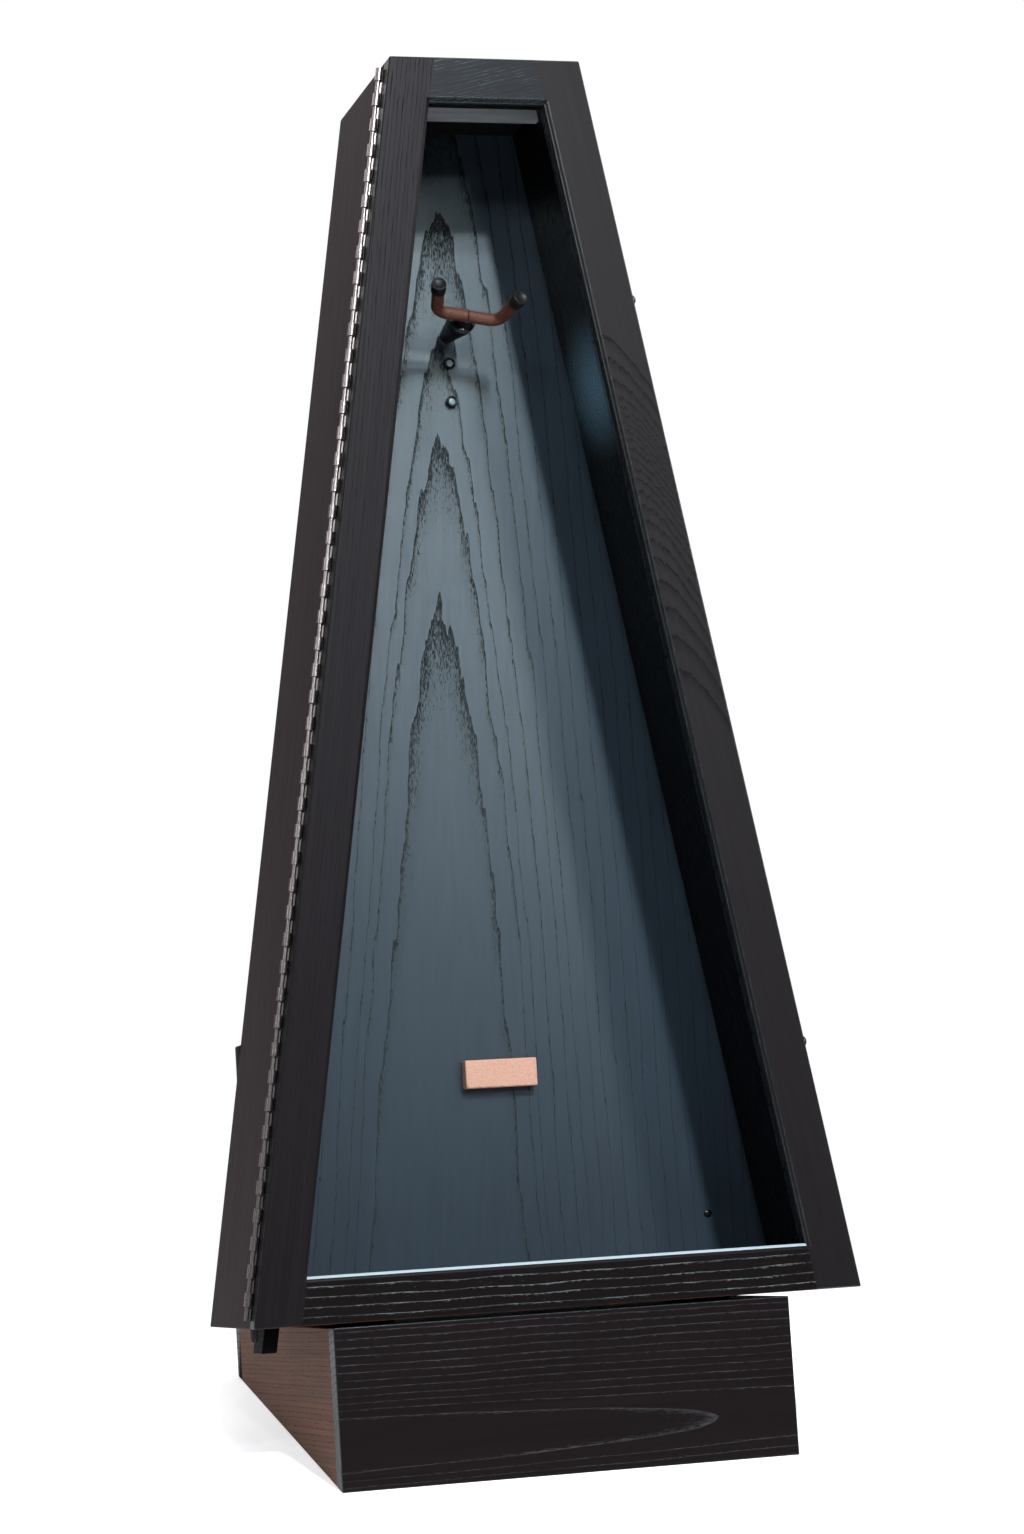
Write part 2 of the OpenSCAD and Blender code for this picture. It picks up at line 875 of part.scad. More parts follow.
module hole_plugs() {
    color("#161618") in_case() for (drop = [plug_drop_a, plug_drop_b])
        translate([hanger_x, 0, hanger_z - drop]) {
            dome_y(plug_r, plug_crown, panel_y - plug_h + plug_crown);
            rod_y(plug_r, panel_y - plug_h + plug_crown, panel_y);
            rod_y(swivel_r, panel_y - plug_h / 2, panel_y + plug_stem);
        }
}

module corner_plug() {
    color("#161618") in_case() translate([corner_x, 0, corner_z]) {
        dome_y(corner_r, corner_rise, panel_y);
        rod_y(corner_stem_r, panel_y - corner_rise / 2, panel_y + plug_stem);
    }
}

module cork_rest() {
    color("#c98873") in_case() translate([hanger_x + 5 - rest_w / 2, panel_y - rest_d, rest_z])
        cube([rest_w, rest_d, rest_h]);
}

plinth_front();
plinth_left();
plinth_right();
plinth_rear();
plinth_deck();
cleat_left();
cleat_right();
spacer_pads();
case_bolts();
bolt_inserts();
side_left();
side_right();
top_board();
bottom_board();
back_panel();
top_strip();
rear_batten();
batten_screws();
under_block();
under_peg();
case_leaf();
door_leaf();
hinge_pin();
case_leaf_screws();
door_leaf_screws();
door_stile_left();
door_stile_right();
door_rail_top();
door_rail_bottom();
door_glass();
bead_left();
bead_right();
bead_top();
bead_bottom();
latch_studs();
hook_upper();
hook_lower();
latch_pivots();
door_bumpers();
hanger_stud();
hanger_neck();
swivel_washer();
yoke();
sleeve_left();
sleeve_right();
cap_left();
cap_right();
hole_plugs();
corner_plug();
cork_rest();
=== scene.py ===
# %% [markdown]
# # A tapered display case for a guitar
# The case is a tall tapered box of black-stained ash on a wedge plinth, leaning back, with a
# glazed door on a long piano hinge. The CAD model gives every board, screw and joint its place.
# This lesson gives them their looks: wood whose grain runs through the boards, eased arrises,
# bright nickel, glass, soft sleeves and cork. The camera and the lamps come first, because
# every later choice is judged under them.

# %% Load the fixed frame
import json
import math
import bmesh
import bpy
import numpy as np
from mathutils import Matrix, Vector
from mathutils.bvhtree import BVHTree

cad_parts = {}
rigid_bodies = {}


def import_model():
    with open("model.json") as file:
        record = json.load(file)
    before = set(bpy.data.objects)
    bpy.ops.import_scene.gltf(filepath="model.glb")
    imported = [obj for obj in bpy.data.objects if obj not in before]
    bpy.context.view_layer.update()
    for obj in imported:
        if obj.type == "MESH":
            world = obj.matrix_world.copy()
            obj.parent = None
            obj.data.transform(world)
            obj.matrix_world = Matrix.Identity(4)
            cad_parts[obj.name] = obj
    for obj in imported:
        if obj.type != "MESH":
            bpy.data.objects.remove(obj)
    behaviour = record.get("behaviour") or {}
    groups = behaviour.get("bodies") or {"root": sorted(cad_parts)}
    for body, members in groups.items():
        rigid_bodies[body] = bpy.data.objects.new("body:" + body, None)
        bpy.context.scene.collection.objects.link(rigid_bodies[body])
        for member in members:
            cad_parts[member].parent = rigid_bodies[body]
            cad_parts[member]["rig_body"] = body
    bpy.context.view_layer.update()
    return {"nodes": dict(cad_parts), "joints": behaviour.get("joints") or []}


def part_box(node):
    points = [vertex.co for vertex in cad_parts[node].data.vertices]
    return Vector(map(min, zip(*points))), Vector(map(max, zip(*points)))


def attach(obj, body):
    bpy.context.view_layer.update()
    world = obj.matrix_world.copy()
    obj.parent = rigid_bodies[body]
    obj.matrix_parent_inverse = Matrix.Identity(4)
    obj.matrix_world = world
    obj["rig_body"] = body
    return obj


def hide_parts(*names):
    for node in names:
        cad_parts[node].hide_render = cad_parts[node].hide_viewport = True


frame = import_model()

# %% [markdown]
# ## The case's own frame
# The whole box leans back, so a board is easiest to describe in a frame that leans with it:
# X across, Y back from the door's front face, Z up along the front, in millimetres. The joints
# in the record give the lean and the taper, and the bottom rail's box gives the zero point.

# %% Lean, taper and zero point
MM = 0.001
joint_axis = {j["name"]: Vector(j["axis"]) for j in frame["joints"]}
pin_at = [Vector(j["pos_m"]) for j in frame["joints"] if j["name"] == "door_hinge"][0]
lean = math.atan2(-joint_axis["yoke_swivel"].z, joint_axis["yoke_swivel"].y)
taper = math.asin(abs(joint_axis["door_hinge"].x))
case_turn = Matrix.Rotation(-lean, 3, "X")

# a leaning rail of thickness t and width w fills y = t cos + w sin and z = w cos + t sin of its
# box, which is solved here for t and w. The rebate and the bevel cut away the corners that
# reach furthest, so t comes out 1.6 mm and w 0.5 mm short, and the zero point 0.3 mm low.
rail_low, rail_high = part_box("door_rail_bottom")
rail_y, rail_z = rail_high.y - rail_low.y, rail_high.z - rail_low.z
cosine, sine = math.cos(lean), math.sin(lean)
door_t = (rail_y * cosine - rail_z * sine) / (cosine * cosine - sine * sine)
frame_w = (rail_z * cosine - rail_y * sine) / (cosine * cosine - sine * sine)
case_zero = Vector((0, rail_low.y, rail_low.z + door_t * sine))


def at(x, y, z):
    """World point of a point of the case's frame given in mm: zero point + lean * (x, y, z)."""
    return case_zero + case_turn @ (Vector((x, y, z)) * MM)


def in_case(points):
    """World points, as rows in metres, in the case's frame in mm."""
    turned = (np.asarray(points) - np.array(case_zero)) @ np.array(case_turn)
    return turned / MM


def corners_of(mesh):
    """A mesh's vertices as rows in metres."""
    flat = np.empty(len(mesh.vertices) * 3)
    mesh.vertices.foreach_get("co", flat)
    return flat.reshape(-1, 3)


def case_box(node):
    """Lowest and highest corner of a CAD node in the case's frame, in mm."""
    points = in_case(corners_of(frame["nodes"][node].data))
    return points.min(0), points.max(0)


print("lean", round(math.degrees(lean), 2), "taper", round(math.degrees(taper), 2),
      "door", round(door_t / MM, 2), "frame", round(frame_w / MM, 2))

# %% [markdown]
# ## Camera
# A long lens a little over three metres away, at about the height of the case's middle, left
# of the front and looking slightly down. A long lens keeps the taper of the case true.

# %% Camera
def toward(azimuth, elevation):
    """Unit vector from the case to a place round it, in degrees. Azimuth a turns right from the
    front, elevation e turns up: (sin a cos e, -cos a cos e, sin e)."""
    a, e = math.radians(azimuth), math.radians(elevation)
    return Vector((math.sin(a) * math.cos(e), -math.cos(a) * math.cos(e), math.sin(e)))


SENSOR, LENS = 36, 86.3
CAM_FROM = Vector((-1.0043, -3.2717, 0.7897))
CAM_AZIMUTH, CAM_ELEVATION, CAM_ROLL = -16.264, 4.622, -0.28
cam_data = bpy.data.cameras.new("camera")
cam_data.sensor_width = SENSOR
cam_data.lens = LENS
camera = bpy.data.objects.new("camera", cam_data)
bpy.context.scene.collection.objects.link(camera)
camera.location = case_zero + CAM_FROM
upright = (-toward(CAM_AZIMUTH, CAM_ELEVATION)).to_track_quat("-Z", "Y").to_matrix()
roll = Matrix.Rotation(math.radians(CAM_ROLL), 3, "Z")
camera.rotation_euler = (upright @ roll).to_euler()
bpy.context.scene.camera = camera
bpy.context.scene.view_settings.view_transform = "Standard"
print("camera at", tuple(round(v, 3) for v in camera.location))

# %% [markdown]
# ## Colours and nodes
# Colours are written as sRGB hex values, as on a paint card, and Blender wants them linear.
# One helper adds a shader node with its settings and its links, so that each material below
# reads as a short list of what it is made of. The kinds of node used most get a short name.

# %% Helpers for materials
def linear(paint):
    """Linear RGBA of an sRGB hex colour: c / 12.92 up to 0.04045, and above that
    ((c + 0.055) / 1.055)^2.4."""
    c = np.array([int(paint[i:i + 2], 16) for i in (1, 3, 5)]) / 255
    bent = np.where(c <= 0.04045, c / 12.92, ((c + 0.055) / 1.055) ** 2.4)
    return (*bent.tolist(), 1.0)


def add(tree, kind, inputs=None, **settings):
    """Adds a node, makes its settings, and fills its inputs with numbers or with other nodes.
    The inputs are a dictionary by name or number, or a list in the node's own order."""
    made = tree.nodes.new(kind)
    for key, value in settings.items():
        setattr(made, key, value)
    pairs = inputs.items() if isinstance(inputs, dict) else enumerate(inputs or [])
    for key, value in pairs:
        if isinstance(key, int):
            socket = made.inputs[key]
        else:
            socket = [k for k in made.inputs if k.enabled and k.name == key][0]
        if isinstance(value, bpy.types.Node):
            value = [k for k in value.outputs if k.enabled][0]
        if isinstance(value, bpy.types.NodeSocket):
            tree.links.new(value, socket)
        else:
            socket.default_value = value
    return made


def blank(name):
    """A new material with an empty node tree."""
    material = bpy.data.materials.new(name)
    material.use_nodes = True
    material.node_tree.nodes.clear()
    return material, material.node_tree


MATH, VECTOR, RANGE = "ShaderNodeMath", "ShaderNodeVectorMath", "ShaderNodeMapRange"
NOISE, MIX = "ShaderNodeTexNoise", "ShaderNodeMix"
print("mid grey is", round(linear("#808080")[0], 3), "in linear light")

# %% [markdown]
# ## Floor, backdrop and lamps
# The case stands in front of white. The white is a property of the floor and the world as the
# camera, a mirror or glass sees them, and adds no light to the case. Near the case the floor
# is half lit paint, so the shadow stays.

# %% World
def seen_directly(tree):
    """1 for rays from the camera, from a mirror or through glass, else 0."""
    path = add(tree, "ShaderNodeLightPath")
    shiny = add(tree, MATH, [path.outputs["Is Glossy Ray"], path.outputs["Is Transmission Ray"]],
                operation="MAXIMUM")
    return add(tree, MATH, [path.outputs["Is Camera Ray"], shiny], operation="MAXIMUM")


AMBIENT = 0.215
PURE_WHITE = (1, 1, 1, 1)
world = bpy.data.worlds.new("studio")
bpy.context.scene.world = world
world.use_nodes = True
sky = world.node_tree
sky.nodes.clear()
room = add(sky, "ShaderNodeBackground", {"Color": linear("#f3f7ff"), "Strength": AMBIENT})
white = add(sky, "ShaderNodeBackground", {"Color": PURE_WHITE, "Strength": 1.0})
add(sky, "ShaderNodeOutputWorld", {"Surface": add(
    sky, "ShaderNodeMixShader", [seen_directly(sky), room, white])})
print("ambient level", AMBIENT)

# %% Floor
FLOOR_HALF = 12.0
FLOOR_GLOW = 0.42
SHADOW_END, WHITE_FROM = 0.5, 1.0
floor_mesh = bpy.data.meshes.new("floor")
corners = np.array([(-1, -1, 0), (1, -1, 0), (1, 1, 0), (-1, 1, 0)]) * FLOOR_HALF
floor_mesh.from_pydata(corners.tolist(), [], [(0, 1, 2, 3)])
floor = bpy.data.objects.new("floor", floor_mesh)
bpy.context.scene.collection.objects.link(floor)

# matt paint that takes a shadow near the case and shows as pure white from a metre away
paint, tree = blank("pale_floor_paint")
lit = add(tree, "ShaderNodeBsdfDiffuse", {"Color": linear("#f0f0f0")})
glow = add(tree, "ShaderNodeEmission", {"Color": PURE_WHITE, "Strength": FLOOR_GLOW})
near = add(tree, "ShaderNodeAddShader", [lit, glow])
far = add(tree, "ShaderNodeEmission", {"Color": PURE_WHITE, "Strength": 1.0})
spot = add(tree, VECTOR, [add(tree, "ShaderNodeTexCoord").outputs["Object"]], operation="LENGTH")
away = add(tree, RANGE, {"Value": spot.outputs["Value"], "From Min": SHADOW_END,
                         "From Max": WHITE_FROM}, interpolation_type="SMOOTHSTEP")
shown = add(tree, "ShaderNodeMixShader", [away, near, far])
add(tree, "ShaderNodeOutputMaterial", {"Surface": add(
    tree, "ShaderNodeMixShader", [seen_directly(tree), lit, shown])})
floor_mesh.materials.append(paint)
print("floor", 2 * FLOOR_HALF, "m square, white from", WHITE_FROM, "m")

# %% [markdown]
# Eight rather small lamps in front throw the stepped shadow edges of the door frame on the
# back panel: a small lamp gives a sharp edge, and each further one adds a step. Broad soft
# lamps at the sides, behind and above fill the rest.

# %% Lamps
case_middle = at(0, 100, 600)


def lamp(name, azimuth, elevation, distance, size, level, tint="#ffffff"):
    """Square lamp aimed at the case. Azimuth turns right from the front, in degrees. level is
    how brightly it alone would show a white card that faces it, so its watts are level *
    pi^2 * distance^2."""
    data = bpy.data.lights.new(name, "AREA")
    data.shape = "SQUARE"
    data.size = size
    data.energy = level * (math.pi * distance) ** 2
    data.color = linear(tint)[:3]
    made = bpy.data.objects.new(name, data)
    bpy.context.scene.collection.objects.link(made)
    away = toward(azimuth, elevation)
    made.location = case_middle + away * distance
    made.rotation_euler = away.to_track_quat("Z", "Y").to_euler()
    print(name, "watts", round(data.energy, 1))


COOL = "#eef7ff"
lamp("key_high", 5.3, 42, 4.2, 0.16, 0.50, COOL)
lamp("key_highest", 5.0, 46.5, 4.2, 0.16, 0.48, COOL)
lamp("key_high_left", -14, 48, 4.2, 0.14, 0.08, COOL)
lamp("key_left", -27, 35, 4.2, 0.18, 0.11, COOL)
lamp("key_left_inner", -10, 33, 4.2, 0.16, 0.09, COOL)
lamp("key_right_inner", 10.7, 25.7, 4.2, 0.22, 0.07, COOL)
lamp("key_right", 28.3, 20.7, 4.2, 0.22, 0.07, COOL)
lamp("key_right_middle", 25.2, 21.4, 4.2, 0.22, 0.05, COOL)
lamp("fill_left", -80, 25, 3.5, 1.6, 0.23)
lamp("fill_right", 80, 25, 3.5, 1.6, 0.24)
lamp("fill_rear_left", -150, 35, 3.5, 2.0, 0.32)
lamp("fill_rear_right", 150, 35, 3.5, 2.0, 0.32)
lamp("fill_above", 0, 88, 3.5, 2.0, 0.25)

# %% [markdown]
# Satin wood and glass are judged by what they mirror, so a studio hangs black cloth all round
# and lays some on the floor in front, with the lamps inside. The tent is a surface of
# revolution that closes to a small open crown. Only mirror rays meet it: the camera, shadows
# and soft light pass through.

# %% Black cloth round the set
velvet, tree = blank("black_velvet")
add(tree, "ShaderNodeOutputMaterial", {"Surface": add(
    tree, "ShaderNodeBsdfDiffuse", {"Color": linear("#0c0d0f")})})


def cloth(name, grid, material):
    """Quad surface through a grid of points, seen only by mirror rays."""
    rows, columns = grid.shape[:2]
    first = (np.arange(rows - 1)[:, None] * columns + np.arange(columns - 1)).ravel()
    quads = np.stack([first, first + columns, first + columns + 1, first + 1], 1)
    mesh = bpy.data.meshes.new(name)
    mesh.from_pydata(grid.reshape(-1, 3).tolist(), [], quads.tolist())
    mesh.materials.append(material)
    made = bpy.data.objects.new(name, mesh)
    bpy.context.scene.collection.objects.link(made)
    made.visible_camera = False
    made.visible_diffuse = False
    made.visible_shadow = False
    print(name, "faces", len(mesh.polygons))


# the tent runs 165 degrees to each side of the front, from just under the floor to its crown
TENT_R, TENT_TURN, TENT_FOOT, TENT_CROWN = 5.2, 165, -2, 78
around, up = np.meshgrid(np.radians(np.linspace(-TENT_TURN, TENT_TURN, 31)),
                         np.radians(np.linspace(TENT_FOOT, TENT_CROWN, 9)), indexing="ij")
cloth("black_tent", TENT_R * np.stack([np.sin(around) * np.cos(up), -np.cos(around) * np.cos(up),
                                       np.sin(up)], -1), velvet)

CLOTH_HALF, CLOTH_FRONT, CLOTH_REAR, CLOTH_UP = 5, -6, -0.35, 0.004
wide, deep = np.meshgrid(np.linspace(-CLOTH_HALF, CLOTH_HALF, 2),
                         np.linspace(CLOTH_FRONT, CLOTH_REAR, 2), indexing="ij")
cloth("black_floor_cloth", np.stack([wide, deep, np.full_like(wide, CLOTH_UP)], -1), velvet)

# %% [markdown]
# One dim blue window is left open in the cloth. It shows in the glass as a soft gleam beside
# the right stile, and says that there is glass at all. Its strength falls from the middle to
# nothing at the rim: smoothstep of 1 - |(across / wide, up / high)|.

# %% Window
WINDOW_AZIMUTH, WINDOW_ELEVATION, WINDOW_LEVEL = 20.6, 27.6, 1.9
WINDOW_R, WINDOW_WIDE, WINDOW_HIGH = 4.2, 0.07, 0.17
window_way = toward(WINDOW_AZIMUTH, WINDOW_ELEVATION)
window_at = case_middle + window_way * WINDOW_R
turn = math.radians(WINDOW_AZIMUTH)
side = Vector((math.cos(turn), math.sin(turn), 0))
rise = window_way.cross(side)
window, tree = blank("dim_blue_window")
off = add(tree, VECTOR, [add(tree, "ShaderNodeTexCoord").outputs["Object"], tuple(window_at)],
          operation="SUBTRACT")
across = add(tree, VECTOR, [off, tuple(side / WINDOW_WIDE)], operation="DOT_PRODUCT")
upward = add(tree, VECTOR, [off, tuple(rise / WINDOW_HIGH)], operation="DOT_PRODUCT")
both = add(tree, "ShaderNodeCombineXYZ", [across.outputs["Value"], upward.outputs["Value"]])
reach = add(tree, VECTOR, [both], operation="LENGTH").outputs["Value"]
dim = add(tree, RANGE, {"Value": reach, "From Min": 0.0, "From Max": 1.0,
                        "To Min": WINDOW_LEVEL, "To Max": 0.0}, interpolation_type="SMOOTHSTEP")
add(tree, "ShaderNodeOutputMaterial", {"Surface": add(
    tree, "ShaderNodeEmission", {"Color": linear("#86b4d2"), "Strength": dim})})
sideways, upwards = np.meshgrid(np.linspace(-1, 1, 2), np.linspace(-1, 1, 2), indexing="ij")
cloth("window", np.array(window_at) + sideways[..., None] * WINDOW_WIDE * np.array(side)
      + upwards[..., None] * WINDOW_HIGH * np.array(rise), window)
print("window at", tuple(round(v, 2) for v in window_at))

# %% [markdown]
# ## Stained ash
# Ash is ring porous: each year starts with a band of wide pores and ends in dense smooth
# wood. A board shows that as jagged dark lines of short dashes, in arches where the cut runs
# along the heart and in straight lines beside it. Black stain sinks into the pores and leaves
# the late wood a little paler. A flat picture of grain would break at every arris, so the
# grain here is solid: the rings are cones round the heart of the tree, and each face of a
# board cuts them as a saw would. The mapping puts the heart in millimetres where the board's
# log had it, so radius, ring and pore sizes are real sizes.

# %% Rings of a log
def ring_run(seed, start, stop, width):
    """Radii in mm of successive rings from start to stop. Each step is width times a number
    between 0.6 and 1.4, since good and dry years differ."""
    steps = width * np.random.default_rng(seed).uniform(0.6, 1.4, int((stop - start) / width))
    return start + np.cumsum(steps)


def ring_of_peak(peak, depth, bend, steep):
    """Radius at height zero of the ring that peaks at the height peak on a face depth mm from
    the heart: (depth^bend + peak / steep)^(1 / bend)."""
    return (depth ** bend + np.asarray(peak, float) / steep) ** (1 / bend)


def grain_turn(along, across):
    """Euler turn of a grain frame: Z along the grain, X across the face, in case directions."""
    z = Vector(along).normalized()
    x = Vector(across)
    x = (x - z * x.dot(z)).normalized()
    y = z.cross(x)
    return (case_turn @ Matrix((x, y, z)).transposed()).to_euler()


print("one log's rings, mm:", ring_run(3, 200, 230, 4).round(1))

# %% [markdown]
# The grain is worked out in small steps, and each is a function below: noises stretched along
# the trunk, a point moved by them as a real trunk sways, the count of years at that point, the
# early wood of its year, and the pores in it.

# %% Noises of the grain
# size in mm across, through and along the board, then detail and roughness of the noise
GRAIN = {"flames": ((9, 9, 130), 1, 0.5), "ragged": ((3.2, 3.2, 22), 1, 0.5),
         "gaps": ((14, 14, 38), 2, 0.5), "shade": ((5, 5, 210), 3, 0.5),
         "highlight_border": ((6, 6, 14), 2, 0.5), "polish": ((1.4, 1.4, 90), 2, 0.5)}


def grain_noises(tree, log, sway_size, pore_size):
    """A noise for each use of the grain, by name. Each reads the log's point in mm divided by
    its own grain size."""
    sizes = {**GRAIN, "sway": (sway_size, 1, 0.5), "pore": (pore_size, 2, 0.6)}
    noises = {}
    for use, (size, detail, coarse) in sizes.items():
        scaled = add(tree, VECTOR, [log, tuple(1 / s for s in size)], operation="MULTIPLY")
        noises[use] = add(tree, NOISE, {"Vector": scaled, "Scale": 1, "Detail": detail,
                                        "Roughness": coarse})
    return noises


def swayed(tree, log, noises, shifts):
    """The log's point in mm, plus (noise - 0.5) * shift for each noise that shifts names."""
    point = log
    for use, shift in shifts.items():
        centred = add(tree, VECTOR, [noises[use].outputs["Color"], (0.5, 0.5, 0.5)],
                      operation="SUBTRACT")
        point = add(tree, VECTOR, [centred, shift, point], operation="MULTIPLY_ADD")
    return point


print("noises of the grain:", ", ".join(GRAIN), "and sway and pore")

# %% Years and early wood
def years_at(tree, radius, height, rings, bend, steep, rooted):
    """Count of years at a point of the log. It lies on the ring whose radius at height zero is
    (radius^bend + height / steep)^(1 / bend). If it isn't rooted, the rings are given without
    the outer power. A curve through the rings turns that into a count."""
    bent = add(tree, MATH, [radius, bend], operation="POWER")
    cone = add(tree, MATH, [height, 1 / steep, bent], operation="MULTIPLY_ADD")
    if rooted:
        cone = add(tree, MATH, [cone, 0.0], operation="MAXIMUM")
        cone = add(tree, MATH, [cone, 1 / bend], operation="POWER")
    low, high = float(rings[0]), float(rings[-1])
    share = add(tree, RANGE, {"Value": cone, "From Min": low, "From Max": high}, clamp=False)
    count = add(tree, "ShaderNodeFloatCurve", {"Value": share})
    curve = count.mapping.curves[0]
    count.mapping.extend = "EXTRAPOLATED"
    for k, ring in enumerate(rings[1:-1], 1):
        curve.points.new((float(ring) - low) / (high - low), k / (len(rings) - 1))
    for knot in curve.points:
        knot.handle_type = "VECTOR"
    count.mapping.update()
    return add(tree, MATH, [count, float(len(rings) - 1)], operation="MULTIPLY")


def early_wood(tree, years, radius, reach, narrow, core):
    """1 at the sharp outer edge of a year. It falls inwards to 0 over the share
    reach / (1 + narrow * radius + core / radius) of the year, and is 0 inside the first ring."""
    spring = add(tree, MATH, [years], operation="FRACT")
    late = add(tree, MATH, [1.0, spring], operation="SUBTRACT")
    faster = add(tree, MATH, [radius, narrow / reach, 1 / reach], operation="MULTIPLY_ADD")
    thinner = add(tree, MATH, [core / reach, radius], operation="DIVIDE")
    faster = add(tree, MATH, [faster, thinner], operation="ADD")
    faded = add(tree, MATH, [late, faster], operation="MULTIPLY")
    early = add(tree, MATH, [1.0, faded], operation="SUBTRACT", use_clamp=True)
    grown = add(tree, MATH, [years, 0.0], operation="GREATER_THAN")
    return add(tree, MATH, [early, grown], operation="MULTIPLY")


# %% Pores
# Real pores are 0.3 mm wide. They are drawn two or three times as coarse, so that they show.
PORE_GATE, BRIM_SHARE = 0.7, 0.2


def open_pores(tree, streaks, early, crowd, rim, crisp):
    """1 in a pore and 0 in sound wood. A streak of noise opens as a pore where it passes the
    gate 0.7 - crowd * early - 0.2 * early^rim, and its edge is crisp wide."""
    brim = add(tree, MATH, [early, rim], operation="POWER")
    gate = add(tree, MATH, [early, -crowd, PORE_GATE], operation="MULTIPLY_ADD")
    gate = add(tree, MATH, [brim, -BRIM_SHARE, gate], operation="MULTIPLY_ADD")
    over = add(tree, MATH, [streaks, gate], operation="SUBTRACT")
    return add(tree, RANGE, {"Value": over, "From Min": 0.0, "From Max": crisp})


print("a streak above", PORE_GATE, "is a pore even in late wood")

# %% Painted highlights on arrises
CASE_UP = case_turn.col[2]
RISE_ZERO = CASE_UP.dot(case_zero)
# a noise moves the border of the painted bottom highlight up and down by this much
HIGHLIGHT_RAGGED = 1.2 * MM


def paint_bottom_highlight(tree, colour, rise, ragged, hue, low, high):
    """The hue painted along a bottom arris as a painted highlight: wholly below low, not at all
    above high, both in mm up the case, with a border that a noise makes ragged."""
    height = add(tree, MATH, [ragged, HIGHLIGHT_RAGGED, rise], operation="MULTIPLY_ADD")
    bare = add(tree, RANGE, {"Value": height, "From Min": RISE_ZERO + low * MM,
                             "From Max": RISE_ZERO + high * MM, "To Min": 1.0, "To Max": 0.0})
    return add(tree, MIX, {"Factor": bare, "A": colour, "B": linear(hue)}, data_type="RGBA")


def paint_bevel_highlight(tree, colour, rise, hue, height):
    """The hue above a height in mm up the case: a painted highlight on an inner bevel."""
    above = add(tree, MATH, [rise, RISE_ZERO + height * MM], operation="GREATER_THAN")
    return add(tree, MIX, {"Factor": above, "A": colour, "B": linear(hue)}, data_type="RGBA")


print("heights up the case are counted from", round(RISE_ZERO / MM, 1), "mm")

# %% Ash
# roughness and depth of a pore, and the share of the streaks that dents sound wood
PORE_ROUGH, PORE_DEPTH, SOUND_DENT = 0.9, 0.4 * MM, 0.1
# values of a noise between which each of these wanders
GAP_SPAN, MOTTLE_SPAN, POLISH_SPAN = (0.42, 0.58), (0.3, 0.7), (0.25, 0.75)


